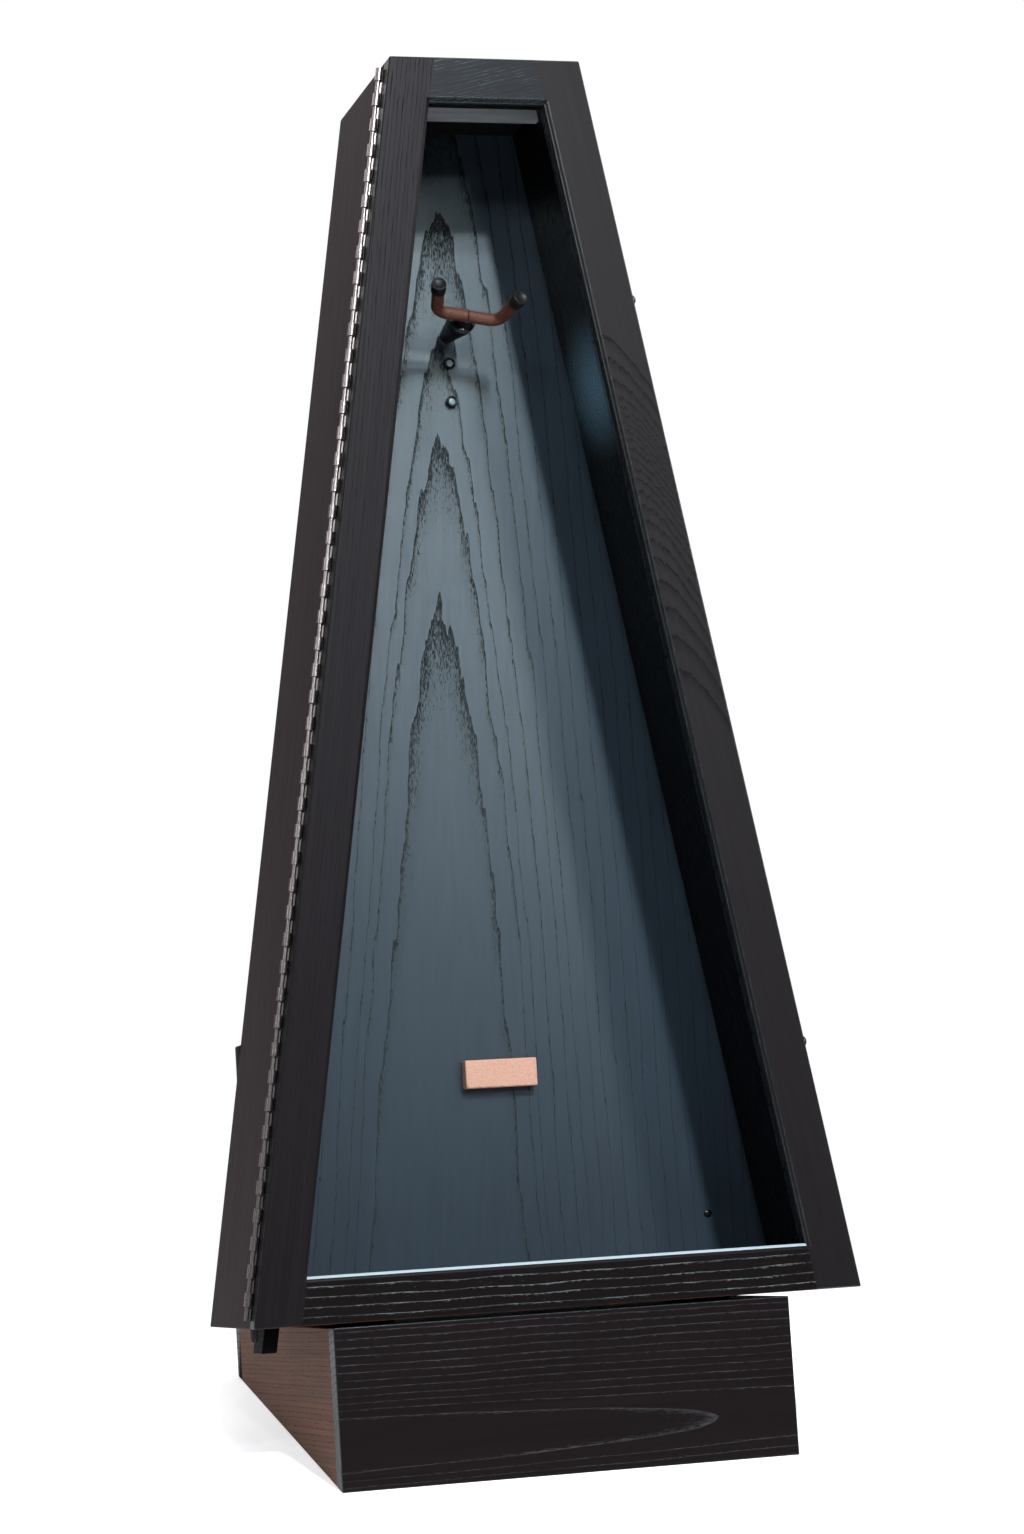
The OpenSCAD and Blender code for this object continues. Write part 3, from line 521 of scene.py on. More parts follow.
def ash(name, heart, along, across, stain, pore, rings, band=None, bend=1.0, steep=60.0,
        rooted=True, reach=0.5, narrow=0.0, core=0.0, sway=(5, 60, 450), flame=0,
        ragged=(1.6, 12), pore_w=0.8, pore_l=9, crowd=0.22, rim=8.0, crisp=0.14, strength=1.0,
        broken=0.0, gloss=0.42, ior=1.2, depth=0.2, mottle=0.25, fine=0.0, bottom_highlight=None,
        bevel_highlight=None):
    """Open-grained ash under stain and oil.
    The cut: heart is a point of the log's heart, along runs with the trunk and across over the
    face, in the case's frame. The years: see years_at and early_wood. The trunk: sway is its
    shift, width and length, flame and ragged are shifts, in mm. The pores: pore_w and pore_l in
    mm, see open_pores; strength is how dark, and broken how much of that is lost in gaps. The
    finish: gloss is the roughness between pores and fine its spread, depth the bump's strength,
    mottle the spread of the colour. band is the hue of early wood. The last two arguments are
    painted highlights: a hue along the bottom arris, and a hue above a height on an inner bevel."""
    material, tree = blank(name)
    place = add(tree, "ShaderNodeTexCoord").outputs["Object"]
    log = add(tree, "ShaderNodeMapping", {"Vector": place, "Location": at(*heart),
                                          "Rotation": grain_turn(along, across),
                                          "Scale": (MM, MM, MM)}, vector_type="TEXTURE")
    shift, wide, long = sway
    noises = grain_noises(tree, log, (wide, wide, long), (pore_w, pore_w, pore_l))
    point = swayed(tree, log, noises, {"sway": (2 * shift, 2 * shift, 0), "flames": (0, 0, flame),
                                       "ragged": (ragged[0], ragged[0], ragged[1])})
    split = add(tree, "ShaderNodeSeparateXYZ", [point])
    flat = add(tree, "ShaderNodeCombineXYZ", [split.outputs[0], split.outputs[1]])
    radius = add(tree, VECTOR, [flat], operation="LENGTH").outputs["Value"]
    years = years_at(tree, radius, split.outputs[2], rings, bend, steep, rooted)
    early = early_wood(tree, years, radius, reach, narrow, core)
    pores = open_pores(tree, noises["pore"], early, crowd, rim, crisp)

    # colour: late wood, a tint in the early wood, then the pores, over a slow mottle
    tint = add(tree, MIX, {"Factor": early, "A": linear(stain), "B": linear(band or stain)},
               data_type="RGBA")
    gaps = add(tree, RANGE, {"Value": noises["gaps"], "From Min": GAP_SPAN[0],
                             "From Max": GAP_SPAN[1], "To Min": strength * (1 - broken),
                             "To Max": strength})
    ink = add(tree, MATH, [pores, gaps], operation="MULTIPLY")
    inked = add(tree, MIX, {"Factor": ink, "A": tint, "B": linear(pore)}, data_type="RGBA")
    shade = add(tree, RANGE, {"Value": noises["shade"], "From Min": MOTTLE_SPAN[0],
                              "From Max": MOTTLE_SPAN[1], "To Min": 1 - mottle,
                              "To Max": 1 + mottle})
    colour = add(tree, VECTOR, [inked, shade], operation="MULTIPLY")
    rise = add(tree, VECTOR, [place, tuple(CASE_UP)], operation="DOT_PRODUCT").outputs["Value"]
    # painted highlights: a warm brown along the bottom arris, and a pale line on an inner bevel
    if bottom_highlight:
        colour = paint_bottom_highlight(tree, colour, rise, noises["highlight_border"], *bottom_highlight)
    if bevel_highlight:
        colour = paint_bevel_highlight(tree, colour, rise, *bevel_highlight)

    # finish: a fine drag of the cloth in the gloss, and pores that are rough and sunk
    sheen = add(tree, RANGE, {"Value": noises["polish"], "From Min": POLISH_SPAN[0],
                              "From Max": POLISH_SPAN[1], "To Min": gloss - fine,
                              "To Max": gloss + fine})
    rough = add(tree, RANGE, {"Value": pores, "To Min": sheen, "To Max": PORE_ROUGH})
    dents = add(tree, MATH, [noises["pore"], SOUND_DENT, pores], operation="MULTIPLY_ADD")
    bump = add(tree, "ShaderNodeBump", {"Height": dents, "Strength": depth,
                                        "Distance": PORE_DEPTH}, invert=True)
    wood = add(tree, "ShaderNodeBsdfPrincipled", {"Base Color": colour, "Roughness": rough,
                                                  "IOR": ior, "Normal": bump})
    add(tree, "ShaderNodeOutputMaterial", {"Surface": wood})
    return material


print("a pore is", round(PORE_DEPTH / MM, 2), "mm deep and", PORE_ROUGH, "rough")

# %% [markdown]
# Each board is cut from its own place in the log. The back panel is flat sawn and shows tall
# flames, one above the other. The left stile is cut far from the heart and runs nearly
# straight. In the right stile the heart runs out through the face, which leaves soft ovals.
# The plinth's front shows one broad arch lying on its side under a run of parallel lines.
# The rings could be random, as in the plain boards, but the flames, ovals and arch have to
# peak at given heights, so their rings are worked out from those.

# %% Rings of the figured boards
UP, ACROSS, BACK = (0, 0, 1), (1, 0, 0), (0, 1, 0)
tilt = math.tan(taper)
UP_LEFT, UP_RIGHT = (tilt, 0, 1), (-tilt, 0, 1)

# the panel's heart lies 11 mm behind its face at 900 mm up and leans forward above, and past
# 1120 mm the rings take their depth from that height
PANEL_BEND, PANEL_STEEP, PANEL_SLIP = 1.45, 0.8, 0.075
PANEL_HEART, PANEL_LEVEL, PANEL_TURN, FIRST_YEAR = 11, 900, 1120, 24
panel_face = case_box("back_panel")[0][1]
peaks = np.array([703, 890, 985, 1118, 1262, 1380, 1530, 1660, 1830, 1990, 2150, 2330, 2500,
                  2700, 2900])
panel_depth = np.abs(PANEL_HEART + PANEL_SLIP * (PANEL_LEVEL - np.minimum(peaks, PANEL_TURN)))
panel_rings = ring_of_peak(peaks, panel_depth, PANEL_BEND, PANEL_STEEP)
panel_rings = np.concatenate([[panel_rings[0] - FIRST_YEAR], panel_rings])
panel_heart = (-62, panel_face + PANEL_HEART + PANEL_LEVEL * PANEL_SLIP, 0)
print("panel face", panel_face.round(1), "rings", panel_rings.round(1))

# the plinth's arch points to the right: its heart lies 2 mm behind the face, 29 % of the way up
# the board, and the first ring closes at its tip
PLINTH_BEND, PLINTH_STEEP = 3.0, 0.0213
ARCH_TIP, ARCH_SHARE, ARCH_DEEP = 0.154, 0.29, 0.002
plinth_low, plinth_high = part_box("plinth_front")
arch_height = (1 - ARCH_SHARE) * plinth_low.z + ARCH_SHARE * plinth_high.z
arch_heart = in_case([(ARCH_TIP, plinth_low.y + ARCH_DEEP, arch_height)])[0]
# the lines lie this many mm from the heart. Below the first ring, at 0, nothing has grown.
plinth_lines = np.array([27, 35.5, 43, 51, 58.5, 66, 73, 81.5, 89, 97])
UNGROWN = -26000.0
plinth_rings = np.concatenate([[UNGROWN, 0.0], plinth_lines ** PLINTH_BEND])
print("heart of the plinth's arch", arch_heart.round(1))

# the right stile's ovals crowd together from 575 mm up to 878 mm, round a heart 9 mm in front
# of its face, and two wide years close the log
STILE_BEND, STILE_STEEP, STILE_DEPTH, STILE_SHIFT = 2.0, 0.03, 9, 14
stile_peaks = np.array([575, 603, 640, 668, 695, 716, 735, 755, 770, 784, 797, 808, 819, 830,
                        838, 847, 856, 863, 871, 878, 897, 918, 940])
stile_rings = ring_of_peak(stile_peaks + STILE_SHIFT, STILE_DEPTH, STILE_BEND, STILE_STEEP)
stile_rings = np.concatenate([stile_rings, stile_rings[-1] + [60.0, 300.0]])

# the bottom rail's lines run evenly along it
RAIL_YEAR, RAIL_SHIFT = 9.3, 0.4
rail_rings = RAIL_YEAR * np.arange(12, 32) + RAIL_SHIFT
print("right stile's ovals:", len(stile_peaks), "bottom rail's lines:", len(rail_rings))

# %% Boards of the door
# near-black stain, its blacker pores, and the hue, foot and top in mm of a painted bottom
# highlight
BLACK, DEEP = "#1a1719", "#0b0a0b"
BOTTOM_HIGHLIGHT = ("#7a4a34", -0.5, 1.6)

woods = {
    # rift sawn and oiled: faint straight lines, so the long edges are what catches the light
    "door_stile_left": ash("black_ash_oiled_left_stile", (-560, 60, 600), UP_LEFT, ACROSS,
                           "#171315", DEEP, ring_run(3, 200, 620, 4), strength=0.3,
                           mottle=0.2, pore_w=0.6, pore_l=24, fine=0.03, bottom_highlight=BOTTOM_HIGHLIGHT),
    # flat sawn through the heart: soft ovals, half a shade darker than the stain
    "door_stile_right": ash("black_ash_oiled_right_stile", (117 + 800 * tilt, -STILE_DEPTH, 0),
                            UP_RIGHT, ACROSS, "#1a1617", "#100d0e", stile_rings, band="#0d0b0b",
                            bend=STILE_BEND, steep=STILE_STEEP, sway=(4, 26, 120),
                            ragged=(1.2, 12), reach=0.6, rim=4.0, crowd=0.16, strength=0.6,
                            mottle=0.12, fine=0.03, bottom_highlight=BOTTOM_HIGHLIGHT),
    # pale pores: a painted highlight where light catches their edges, so the grain shows
    # lighter than the wood
    "door_rail_top": ash("black_ash_oiled_top_rail", (-240, 10, 700), (1, 0, 0.24), UP,
                         "#181719", "#56666c", ring_run(7, 300, 620, 3.4), reach=0.8,
                         sway=(6, 40, 120), pore_w=0.6, pore_l=9, strength=0.5, broken=0.6),
    # the same painted highlight in the pores, and a painted highlight on the inner bevel: one
    # bright line under the glass
    "door_rail_bottom": ash("black_ash_oiled_bottom_rail", (-300, 10, -160), ACROSS, UP,
                            "#0f0909", "#686d6c", rail_rings, steep=1e6, reach=0.27,
                            crowd=0.26, rim=3.0, sway=(3.5, 40, 130), ragged=(1.0, 8),
                            pore_w=0.7, pore_l=4, strength=0.75, broken=0.7, mottle=0.15,
                            bottom_highlight=BOTTOM_HIGHLIGHT, bevel_highlight=("#a3afb3", 42.9)),
}

# %% Boards of the case and the plinth
woods.update({
    # flat sawn veneer under blue-black dye and satin lacquer: it glows where the lamps meet it,
    # and its pores stay open and dark
    "back_panel": ash("black_ash_veneer_panel", panel_heart, (0.052, -PANEL_SLIP, 1), ACROSS,
                      "#363f4c", "#06090d", panel_rings, band="#2c3540", bend=PANEL_BEND,
                      steep=PANEL_STEEP, reach=3.0, narrow=0.13, flame=60, sway=(6, 70, 300),
                      ragged=(1.7, 18), pore_w=0.8, pore_l=6, gloss=0.31, ior=1.72,
                      crowd=0.215, rim=3.5, crisp=0.15, mottle=0.1, fine=0.035, strength=0.9),
    # stained once and oiled thin: a dull brown-black
    "side_left": ash("brown_black_ash_side", (-300, -300, 0), UP_LEFT, BACK, "#302829",
                     "#191415", ring_run(11, 200, 760, 6), strength=0.7, ior=1.1, gloss=0.6,
                     mottle=0.18, pore_l=40, bottom_highlight=BOTTOM_HIGHLIGHT),
    # rubbed smooth, so one soft gleam lies along its inner face; its blue-black is painted shade,
    # much darker than the left side's stain, since its inside lies in shade
    "side_right": ash("black_ash_side_in_painted_shade", (300, -300, 0), UP_RIGHT, BACK, "#080b12", DEEP,
                      ring_run(13, 200, 760, 6), strength=0.5, gloss=0.27, ior=1.22,
                      depth=0.05, bottom_highlight=BOTTOM_HIGHLIGHT),
    # plain boards, stained black with an open grain and no figure
    "top_board": ash("black_ash_top", (-400, 100, 1190), ACROSS, BACK, "#272426", DEEP,
                     ring_run(17, 0, 500, 6), steep=20),
    "bottom_board": ash("black_ash_bottom", (-400, 40, -30), ACROSS, BACK, "#2a2224", DEEP,
                        ring_run(19, 0, 500, 6), steep=20),
    "rear_batten": ash("black_ash_batten", (-400, 250, 180), ACROSS, UP, "#2a2628", DEEP,
                       ring_run(29, 0, 500, 6), steep=20),
    "plinth_rear": ash("black_ash_plinth_rear", (-700, 480, -420), ACROSS, UP, "#221f21", DEEP,
                       ring_run(41, 100, 700, 7)),
    "plinth_deck": ash("black_ash_deck", (-500, 200, -60), ACROSS, BACK, BLACK, DEEP,
                       ring_run(43, 0, 500, 6)),
    # in the deepest shade, under the top: its stain is drawn much paler, so that it shows
    "top_strip": ash("brown_black_ash_strip", (-400, 60, 1160), ACROSS, UP, "#c9c2c8", "#8a8386",
                     ring_run(23, 0, 500, 5), strength=0.4, mottle=0.12),
    # pale pores as on the rails, a painted highlight: thin light lines round one arch
    "plinth_front": ash("black_ash_plinth_front", arch_heart, ACROSS, UP, "#130d0e",
                        "#585a59", plinth_rings, bend=PLINTH_BEND, steep=PLINTH_STEEP,
                        rooted=False, reach=0.5, core=30, sway=(2.5, 40, 150),
                        ragged=(1.0, 8), crowd=0.22, rim=3.0, pore_w=0.6, pore_l=6,
                        strength=0.32, broken=0.4, mottle=0.18),
    # stained red-brown on the left, where the pores are short dark strokes; the right is painted
    # darker, painted shade for a side that lies in shade
    "plinth_left": ash("brown_ash_plinth_side", (-190, -200, -300), BACK, UP, "#5c3d2f",
                       "#2c1b15", ring_run(31, 100, 500, 4.2), pore_l=7, ragged=(1.2, 5),
                       strength=0.7, ior=1.2, gloss=0.65),
    "plinth_right": ash("brown_ash_plinth_side_painted_darker", (190, -200, -300), BACK, UP, "#3a2d2a",
                        DEEP, ring_run(37, 100, 500, 5), strength=0.7, ior=1.2, gloss=0.65),
    # end grain soaked with stain: almost no light comes back
    "under_block": ash("black_ash_block", (-320, 40, 60), BACK, UP, "#080708", "#040304",
                       ring_run(47, 0, 200, 4), gloss=0.6, ior=1.1),
})
for bead in ("bead_left", "bead_right", "bead_top", "bead_bottom"):
    # thin strips are cut from straight-grained wood, so they show no figure
    run = UP if bead in ("bead_left", "bead_right") else ACROSS
    woods[bead] = ash("black_ash_" + bead, (-500, 60, 600), run, BACK, "#202024", DEEP,
                      ring_run(53, 100, 900, 5), strength=0.5)
for cleat in ("cleat_left", "cleat_right"):
    # sawn pine, left bare because nobody sees it
    woods[cleat] = ash("bare_pine_" + cleat, (-260, 100, -260), BACK, UP, "#b8916a", "#8a5f3c",
                       ring_run(59, 50, 600, 5), band="#a87c50", strength=0.4, gloss=0.7)
print("woods:", len(woods))

# %% [markdown]
# ## Eased arrises
# A joiner takes the sharp edge off every arris that a hand can reach, but leaves the joints
# between boards crisp. A bevel by angle alone would round the joints too and open grooves
# there. So each board is copied, its flat faces are made whole again, and an edge is marked
# for rounding only if nothing else lies just outside either of its two faces.

# %% Find the free arrises
CLEAR = 0.5 * MM
PROBE = 0.4 * MM
WELD = 0.001 * MM
FLAT, CREASE = math.radians(1), math.radians(20)
node_trees = {}
for name, obj in frame["nodes"].items():
    mesh = obj.data
    mesh.calc_loop_triangles()
    triangles = np.empty(len(mesh.loop_triangles) * 3, int)
    mesh.loop_triangles.foreach_get("vertices", triangles)
    node_trees[name] = BVHTree.FromPolygons(corners_of(mesh).tolist(),
                                            triangles.reshape(-1, 3).tolist())


def blocked(point, own):
    """True if another piece lies within half a millimetre of the point."""
    return any(tree.find_nearest(point, CLEAR)[0] is not None
               for name, tree in node_trees.items() if name != own)


def mark_free_edges(shape, own, ease):
    """Weights each sharp edge of a board with nothing just outside its two faces, and counts
    them. The two places tried are the edge's middle +- (normal 0 - normal 1) * 0.4 mm."""
    weight = shape.edges.layers.float.new("bevel_weight_edge")
    free = 0
    for edge in shape.edges:
        if len(edge.link_faces) != 2 or edge.calc_face_angle_signed(0) < CREASE:
            edge.smooth = edge.calc_face_angle(0) < CREASE
            continue
        middle = (edge.verts[0].co + edge.verts[1].co) / 2
        n0, n1 = (face.normal for face in edge.link_faces)
        outside = (middle + (n0 - n1) * PROBE, middle + (n1 - n0) * PROBE)
        edge.smooth = False
        if edge.calc_length() > 3 * ease and not any(blocked(p, own) for p in outside):
            edge[weight] = 1.0
            edge.smooth = True
            free += 1
    return free


print("trees of nodes:", len(node_trees))

# %% Round them
def eased(name, body, ease, material, rim=None):
    """Copy of a board with its free arrises rounded to a radius of ease mm, and given the
    material rim on the rounding where one is named, as a painted highlight. The flat faces then
    keep their own normals."""
    piece = bpy.data.objects.new(name + "_eased", frame["nodes"][name].data.copy())
    bpy.context.scene.collection.objects.link(piece)
    shape = bmesh.new()
    shape.from_mesh(piece.data)
    bmesh.ops.remove_doubles(shape, verts=shape.verts, dist=WELD)
    bmesh.ops.dissolve_limit(shape, angle_limit=FLAT, verts=shape.verts, edges=shape.edges)
    shape.edges.ensure_lookup_table()
    free = mark_free_edges(shape, name, ease * MM)
    for face in shape.faces:
        face.smooth = True
    shape.to_mesh(piece.data)
    shape.free()
    piece.data.materials.clear()
    piece.data.materials.append(material)
    rounding = piece.modifiers.new("ease", "BEVEL")
    rounding.limit_method = "WEIGHT"
    rounding.width = ease * MM
    rounding.segments = 3
    if rim:
        piece.data.materials.append(rim)
        rounding.material = 1
    flats = piece.modifiers.new("flat_faces", "WEIGHTED_NORMAL")
    flats.keep_sharp = True
    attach(piece, body)
    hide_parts(name)
    print(name, "free arrises", free)


# on a few boards the arris is glossier than the wood, a real gleam, and its paler teal hue is a
# painted highlight along it
arris = ash("black_ash_arris_with_painted_highlight", (-500, 60, 600), UP, ACROSS, "#1f2628",
            "#161a1b", ring_run(61, 100, 900, 5), strength=0.2, gloss=0.24, ior=1.5,
            mottle=0.3, depth=0.05)
EASED = {"door_stile_left": 1.6, "door_stile_right": 1.6, "door_rail_top": 1.2,
         "door_rail_bottom": 1.6, "side_left": 1.4, "side_right": 1.4, "top_board": 1.2,
         "bottom_board": 1.2, "plinth_front": 0.9, "plinth_left": 1.2, "plinth_right": 1.2,
         "plinth_rear": 1.5, "rear_batten": 2.0, "under_block": 1.0, "top_strip": 1.0}
HIGHLIGHTED_ARRISES = ("door_stile_right", "door_rail_top", "plinth_front")
for name, radius in EASED.items():
    eased(name, frame["nodes"][name]["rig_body"], radius, woods[name],
          arris if name in HIGHLIGHTED_ARRISES else None)

# %% [markdown]
# ## Metals, glass, rubber and cork
# The hinge is rolled from nickel-plated steel strip: a warm grey metal with a soft long gleam.
# The yoke's rod is powder coated, so it hardly mirrors; its sleeves are brown rubber tube, dull
# and faintly mottled; the caps and plugs are moulded, so they are smooth and show a small
# bright highlight. Cork is pressed from crumbs about a millimetre across. Most of these differ
# only in colour, roughness and grain, so one function makes them from a few numbers.

# %% One surface from a few numbers
# the painted shade on the hinge leaves fades out over this many mm, and is this much rougher
SHADE_FADE, SHADE_ROUGH = 2, 0.5


def leaf_root(tree, place, near, far):
    """1 from near to far mm from the hinge pin's line, and fading out over the last 2 mm. The
    distance of a point p is |(p - pin) x axis|."""
    arm = add(tree, VECTOR, [place, tuple(pin_at)], operation="SUBTRACT")
    arm = add(tree, VECTOR, [arm, tuple(joint_axis["door_hinge"])], operation="CROSS_PRODUCT")
    arm = add(tree, VECTOR, [arm], operation="LENGTH").outputs["Value"]
    root = add(tree, MATH, [arm, near * MM], operation="GREATER_THAN")
    leaf = add(tree, RANGE, {"Value": arm, "From Min": (far - SHADE_FADE) * MM,
                             "From Max": far * MM, "To Min": 1.0, "To Max": 0.0})
    return add(tree, MATH, [root, leaf], operation="MULTIPLY")


def surface(name, colour, colour2, rough, rough2, grain, metallic=0.0, ior=1.5, bump=0.2,
            detail=3.0, relief=0.1, low=0.35, high=0.65, painted_shade=None):
    """A surface whose colour and roughness wander between two values with a noise whose grain
    is given in mm along X, Y and Z. low and high are the noise's values at the two ends. bump
    is the strength and relief the height in mm of its dents. The last argument, where given,
    is a dark hue with its near and far distance in mm from the pin: painted shade on the
    hinge leaves beside the knuckles."""
    material, tree = blank(name)
    place = add(tree, "ShaderNodeTexCoord").outputs["Object"]
    scaled = add(tree, VECTOR, [place, tuple(1 / (g * MM) for g in grain)],
                 operation="MULTIPLY")
    noise = add(tree, NOISE, {"Vector": scaled, "Scale": 1, "Detail": detail})
    spread = add(tree, RANGE, {"Value": noise.outputs[0], "From Min": low, "From Max": high})
    tone = add(tree, MIX, {"Factor": spread, "A": linear(colour), "B": linear(colour2)},
               data_type="RGBA")
    rub = add(tree, RANGE, {"Value": spread, "To Min": rough, "To Max": rough2})
    if painted_shade:
        hue, near, far = painted_shade
        root = leaf_root(tree, place, near, far)
        tone = add(tree, MIX, {"Factor": root, "A": tone, "B": linear(hue)}, data_type="RGBA")
        rub = add(tree, MATH, [root, SHADE_ROUGH, rub], operation="MULTIPLY_ADD")
    dents = add(tree, "ShaderNodeBump", {"Height": noise.outputs[0], "Strength": bump,
                                         "Distance": relief * MM})
    settings = {"Base Color": tone, "Roughness": rub, "Metallic": metallic, "Normal": dents}
    if metallic == 0:
        settings["IOR"] = ior
    add(tree, "ShaderNodeOutputMaterial", {"Surface": add(
        tree, "ShaderNodeBsdfPrincipled", settings)})
    return material


print("painted shade on the leaf fades over", SHADE_FADE, "mm")

# %% Metals, rubber, plastic, felt and cork
finishes = {
    # bright nickel over rolled steel strip: warm grey, with a long soft gleam
    "nickel": surface("nickel_plated_rolled_steel", "#a79d9a", "#857b79", 0.34, 0.46,
                      (0.8, 0.8, 4), metallic=1.0, bump=0.1),
    # the same strip, with painted shade on the leaves beside the knuckles, where the gap lies in
    # shade
    "leaf": surface("nickel_plated_hinge_leaf_with_painted_shade", "#a79d9a", "#857b79", 0.3, 0.42, (0.8, 0.8, 4),
                    metallic=1.0, bump=0.1, painted_shade=("#0c0b0b", 3.78, 11)),
    # zinc plate is bluer and duller than nickel, with a fine bloom
    "steel": surface("zinc_plated_steel", "#a9a9ad", "#8c8c92", 0.3, 0.45, (1, 1, 1),
                     metallic=1.0),
    # polished chrome: a near mirror, which reads as one bright crescent on the washer
    "bright": surface("polished_chrome_plate", "#e2e2e6", "#cfcfd4", 0.08, 0.16, (2, 2, 2),
                      metallic=1.0, bump=0.05),
    # turned brass inserts in the plinth
    "brass": surface("turned_brass", "#c2a45c", "#a98b48", 0.3, 0.45, (1, 1, 1), metallic=1.0),
    # powder coat cures to a fine orange peel, drawn at 0.6 mm, which breaks up its highlight
    "powder": surface("black_powder_coat", "#131315", "#1c1c1f", 0.42, 0.55, (0.6, 0.6, 0.6),
                      bump=0.3),
    # extruded rubber tube: dull, and mottled where hands have warmed it
    "sleeve": surface("brown_rubber_sleeve", "#7e4433", "#572e22", 0.55, 0.7, (0.9, 0.9, 0.9),
                      bump=0.35, relief=0.3),
    # moulded rubber takes the satin of its mould
    "rubber": surface("moulded_dark_rubber", "#2b2122", "#1c1617", 0.42, 0.55, (1, 1, 1),
                      bump=0.25),
    # moulded plastic is glossy, with a slight waviness from the mould
    "plastic": surface("moulded_black_plastic", "#141416", "#1d1d20", 0.18, 0.3, (2, 2, 2),
                       bump=0.06),
    # felt is all fibre, so it has no highlight at all
    "pad": surface("black_felt_pad", "#141414", "#232323", 0.9, 1.0, (0.5, 0.5, 0.5), bump=0.5),
    # pressed cork: pale pink-brown crumbs of about 1 mm with darker ones between them
    "cork": surface("compressed_cork", "#ffc0a9", "#dd957c", 0.8, 0.95, (0.9, 0.9, 0.9),
                    bump=0.4, relief=0.4, detail=6, low=0.4, high=0.75),
}
print("finishes:", ", ".join(finishes))

# %% [markdown]
# The glass is a thin clear pane. It could be solid glass that bends light, but then the lamps
# would hardly reach the panel behind it. So what passes through it keeps its direction, and
# Fresnel's formula says how much is mirrored instead: little from the front, much at a slant.

# %% Glass
# The Fresnel node takes the back of a face for the inside of solid glass, which throws light
# past 44 degrees back whole. This pane doesn't bend light, so a back face gets one over the
# index, and both faces then mirror the same small share.
GLASS_INDEX, GLASS_ROUGH = 1.45, 0.03
glass, tree = blank("clear_float_glass")
back_face = add(tree, "ShaderNodeNewGeometry").outputs["Backfacing"]
index = add(tree, RANGE, {"Value": back_face, "To Min": GLASS_INDEX, "To Max": 1 / GLASS_INDEX})
facing = add(tree, "ShaderNodeFresnel", {"IOR": index})
clear = add(tree, "ShaderNodeBsdfTransparent", {"Color": linear("#f7faf9")})
gleam = add(tree, "ShaderNodeBsdfGlossy", {"Color": PURE_WHITE, "Roughness": GLASS_ROUGH})
add(tree, "ShaderNodeOutputMaterial", {"Surface": add(
    tree, "ShaderNodeMixShader", [facing, clear, gleam])})
finishes["glass"] = glass
print("glass mirrors", round(((GLASS_INDEX - 1) / (GLASS_INDEX + 1)) ** 2, 3), "from the front")

# %% A finish for each CAD node
NODE_FINISH = {
    "case_leaf": "leaf", "door_leaf": "leaf", "hinge_pin": "nickel",
    "case_leaf_screws": "steel", "door_leaf_screws": "steel", "batten_screws": "steel",
    "case_bolts": "steel", "bolt_inserts": "brass", "spacer_pads": "pad",
    "door_glass": "glass", "latch_studs": "nickel", "latch_pivots": "nickel",
    "hook_upper": "nickel", "hook_lower": "nickel", "door_bumpers": "rubber",
    "hanger_stud": "steel", "hanger_neck": "powder", "swivel_washer": "bright",
    "yoke": "powder", "sleeve_left": "sleeve", "sleeve_right": "sleeve",
    "cap_left": "rubber", "cap_right": "rubber", "hole_plugs": "plastic",
    "corner_plug": "plastic", "under_peg": "rubber", "cork_rest": "cork",
}
for name, obj in frame["nodes"].items():
    material = woods.get(name) or finishes[NODE_FINISH[name]]
    obj.data.materials.clear()
    obj.data.materials.append(material)
print("finished nodes:", len(frame["nodes"]))

# %% [markdown]
# ## Small turned and cut pieces
# Three small things need more shape than a plain solid: the caps of the yoke, the hole plugs
# and the cork. A bevel could round the plain solids, but couldn't cut a groove or a dish. Each
# is a grid of points whose columns run round it, so one function can skin them all. Caps and
# plugs are lathe work: a profile of radius and height turned round an axis.

# %% A mesh from a grid of points
def skin(name, grid, material, body, nodes):
    """Closed surface through a grid of points in metres. Columns run round and meet; the first
    and the last row are single points, the poles."""
    rows, around = grid.shape[:2]
    ring = np.arange(around)
    following = np.roll(ring, -1)
    inner = 1 + np.arange(rows - 3)[:, None] * around
    quads = np.stack([inner + ring, inner + following, inner + around + following,
                      inner + around + ring], -1)
    last = 1 + (rows - 2) * around
    tops = np.stack([np.zeros_like(ring), 1 + following, 1 + ring], -1)
    ends = np.stack([np.full_like(ring, last), last - around + ring,
                     last - around + following], -1)
    points = np.concatenate([grid[:1, 0], grid[1:-1].reshape(-1, 3), grid[-1:, 0]])
    mesh = bpy.data.meshes.new(name)
    mesh.from_pydata(points.tolist(), [],
                     quads.reshape(-1, 4).tolist() + tops.tolist() + ends.tolist())
    shape = bmesh.new()
    shape.from_mesh(mesh)
    bmesh.ops.recalc_face_normals(shape, faces=shape.faces)
    shape.to_mesh(mesh)
    shape.free()
    mesh.polygons.foreach_set("use_smooth", np.ones(len(mesh.polygons), bool))
    mesh.materials.append(material)
    piece = bpy.data.objects.new(name, mesh)
    bpy.context.scene.collection.objects.link(piece)
    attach(piece, body)
    if nodes:
        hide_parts(*nodes)
    print(name, "faces", len(mesh.polygons))


# a direction that no axis here runs along, to find one square to any of them
NOT_AN_AXIS = (0.3, 0.8, 0.5)


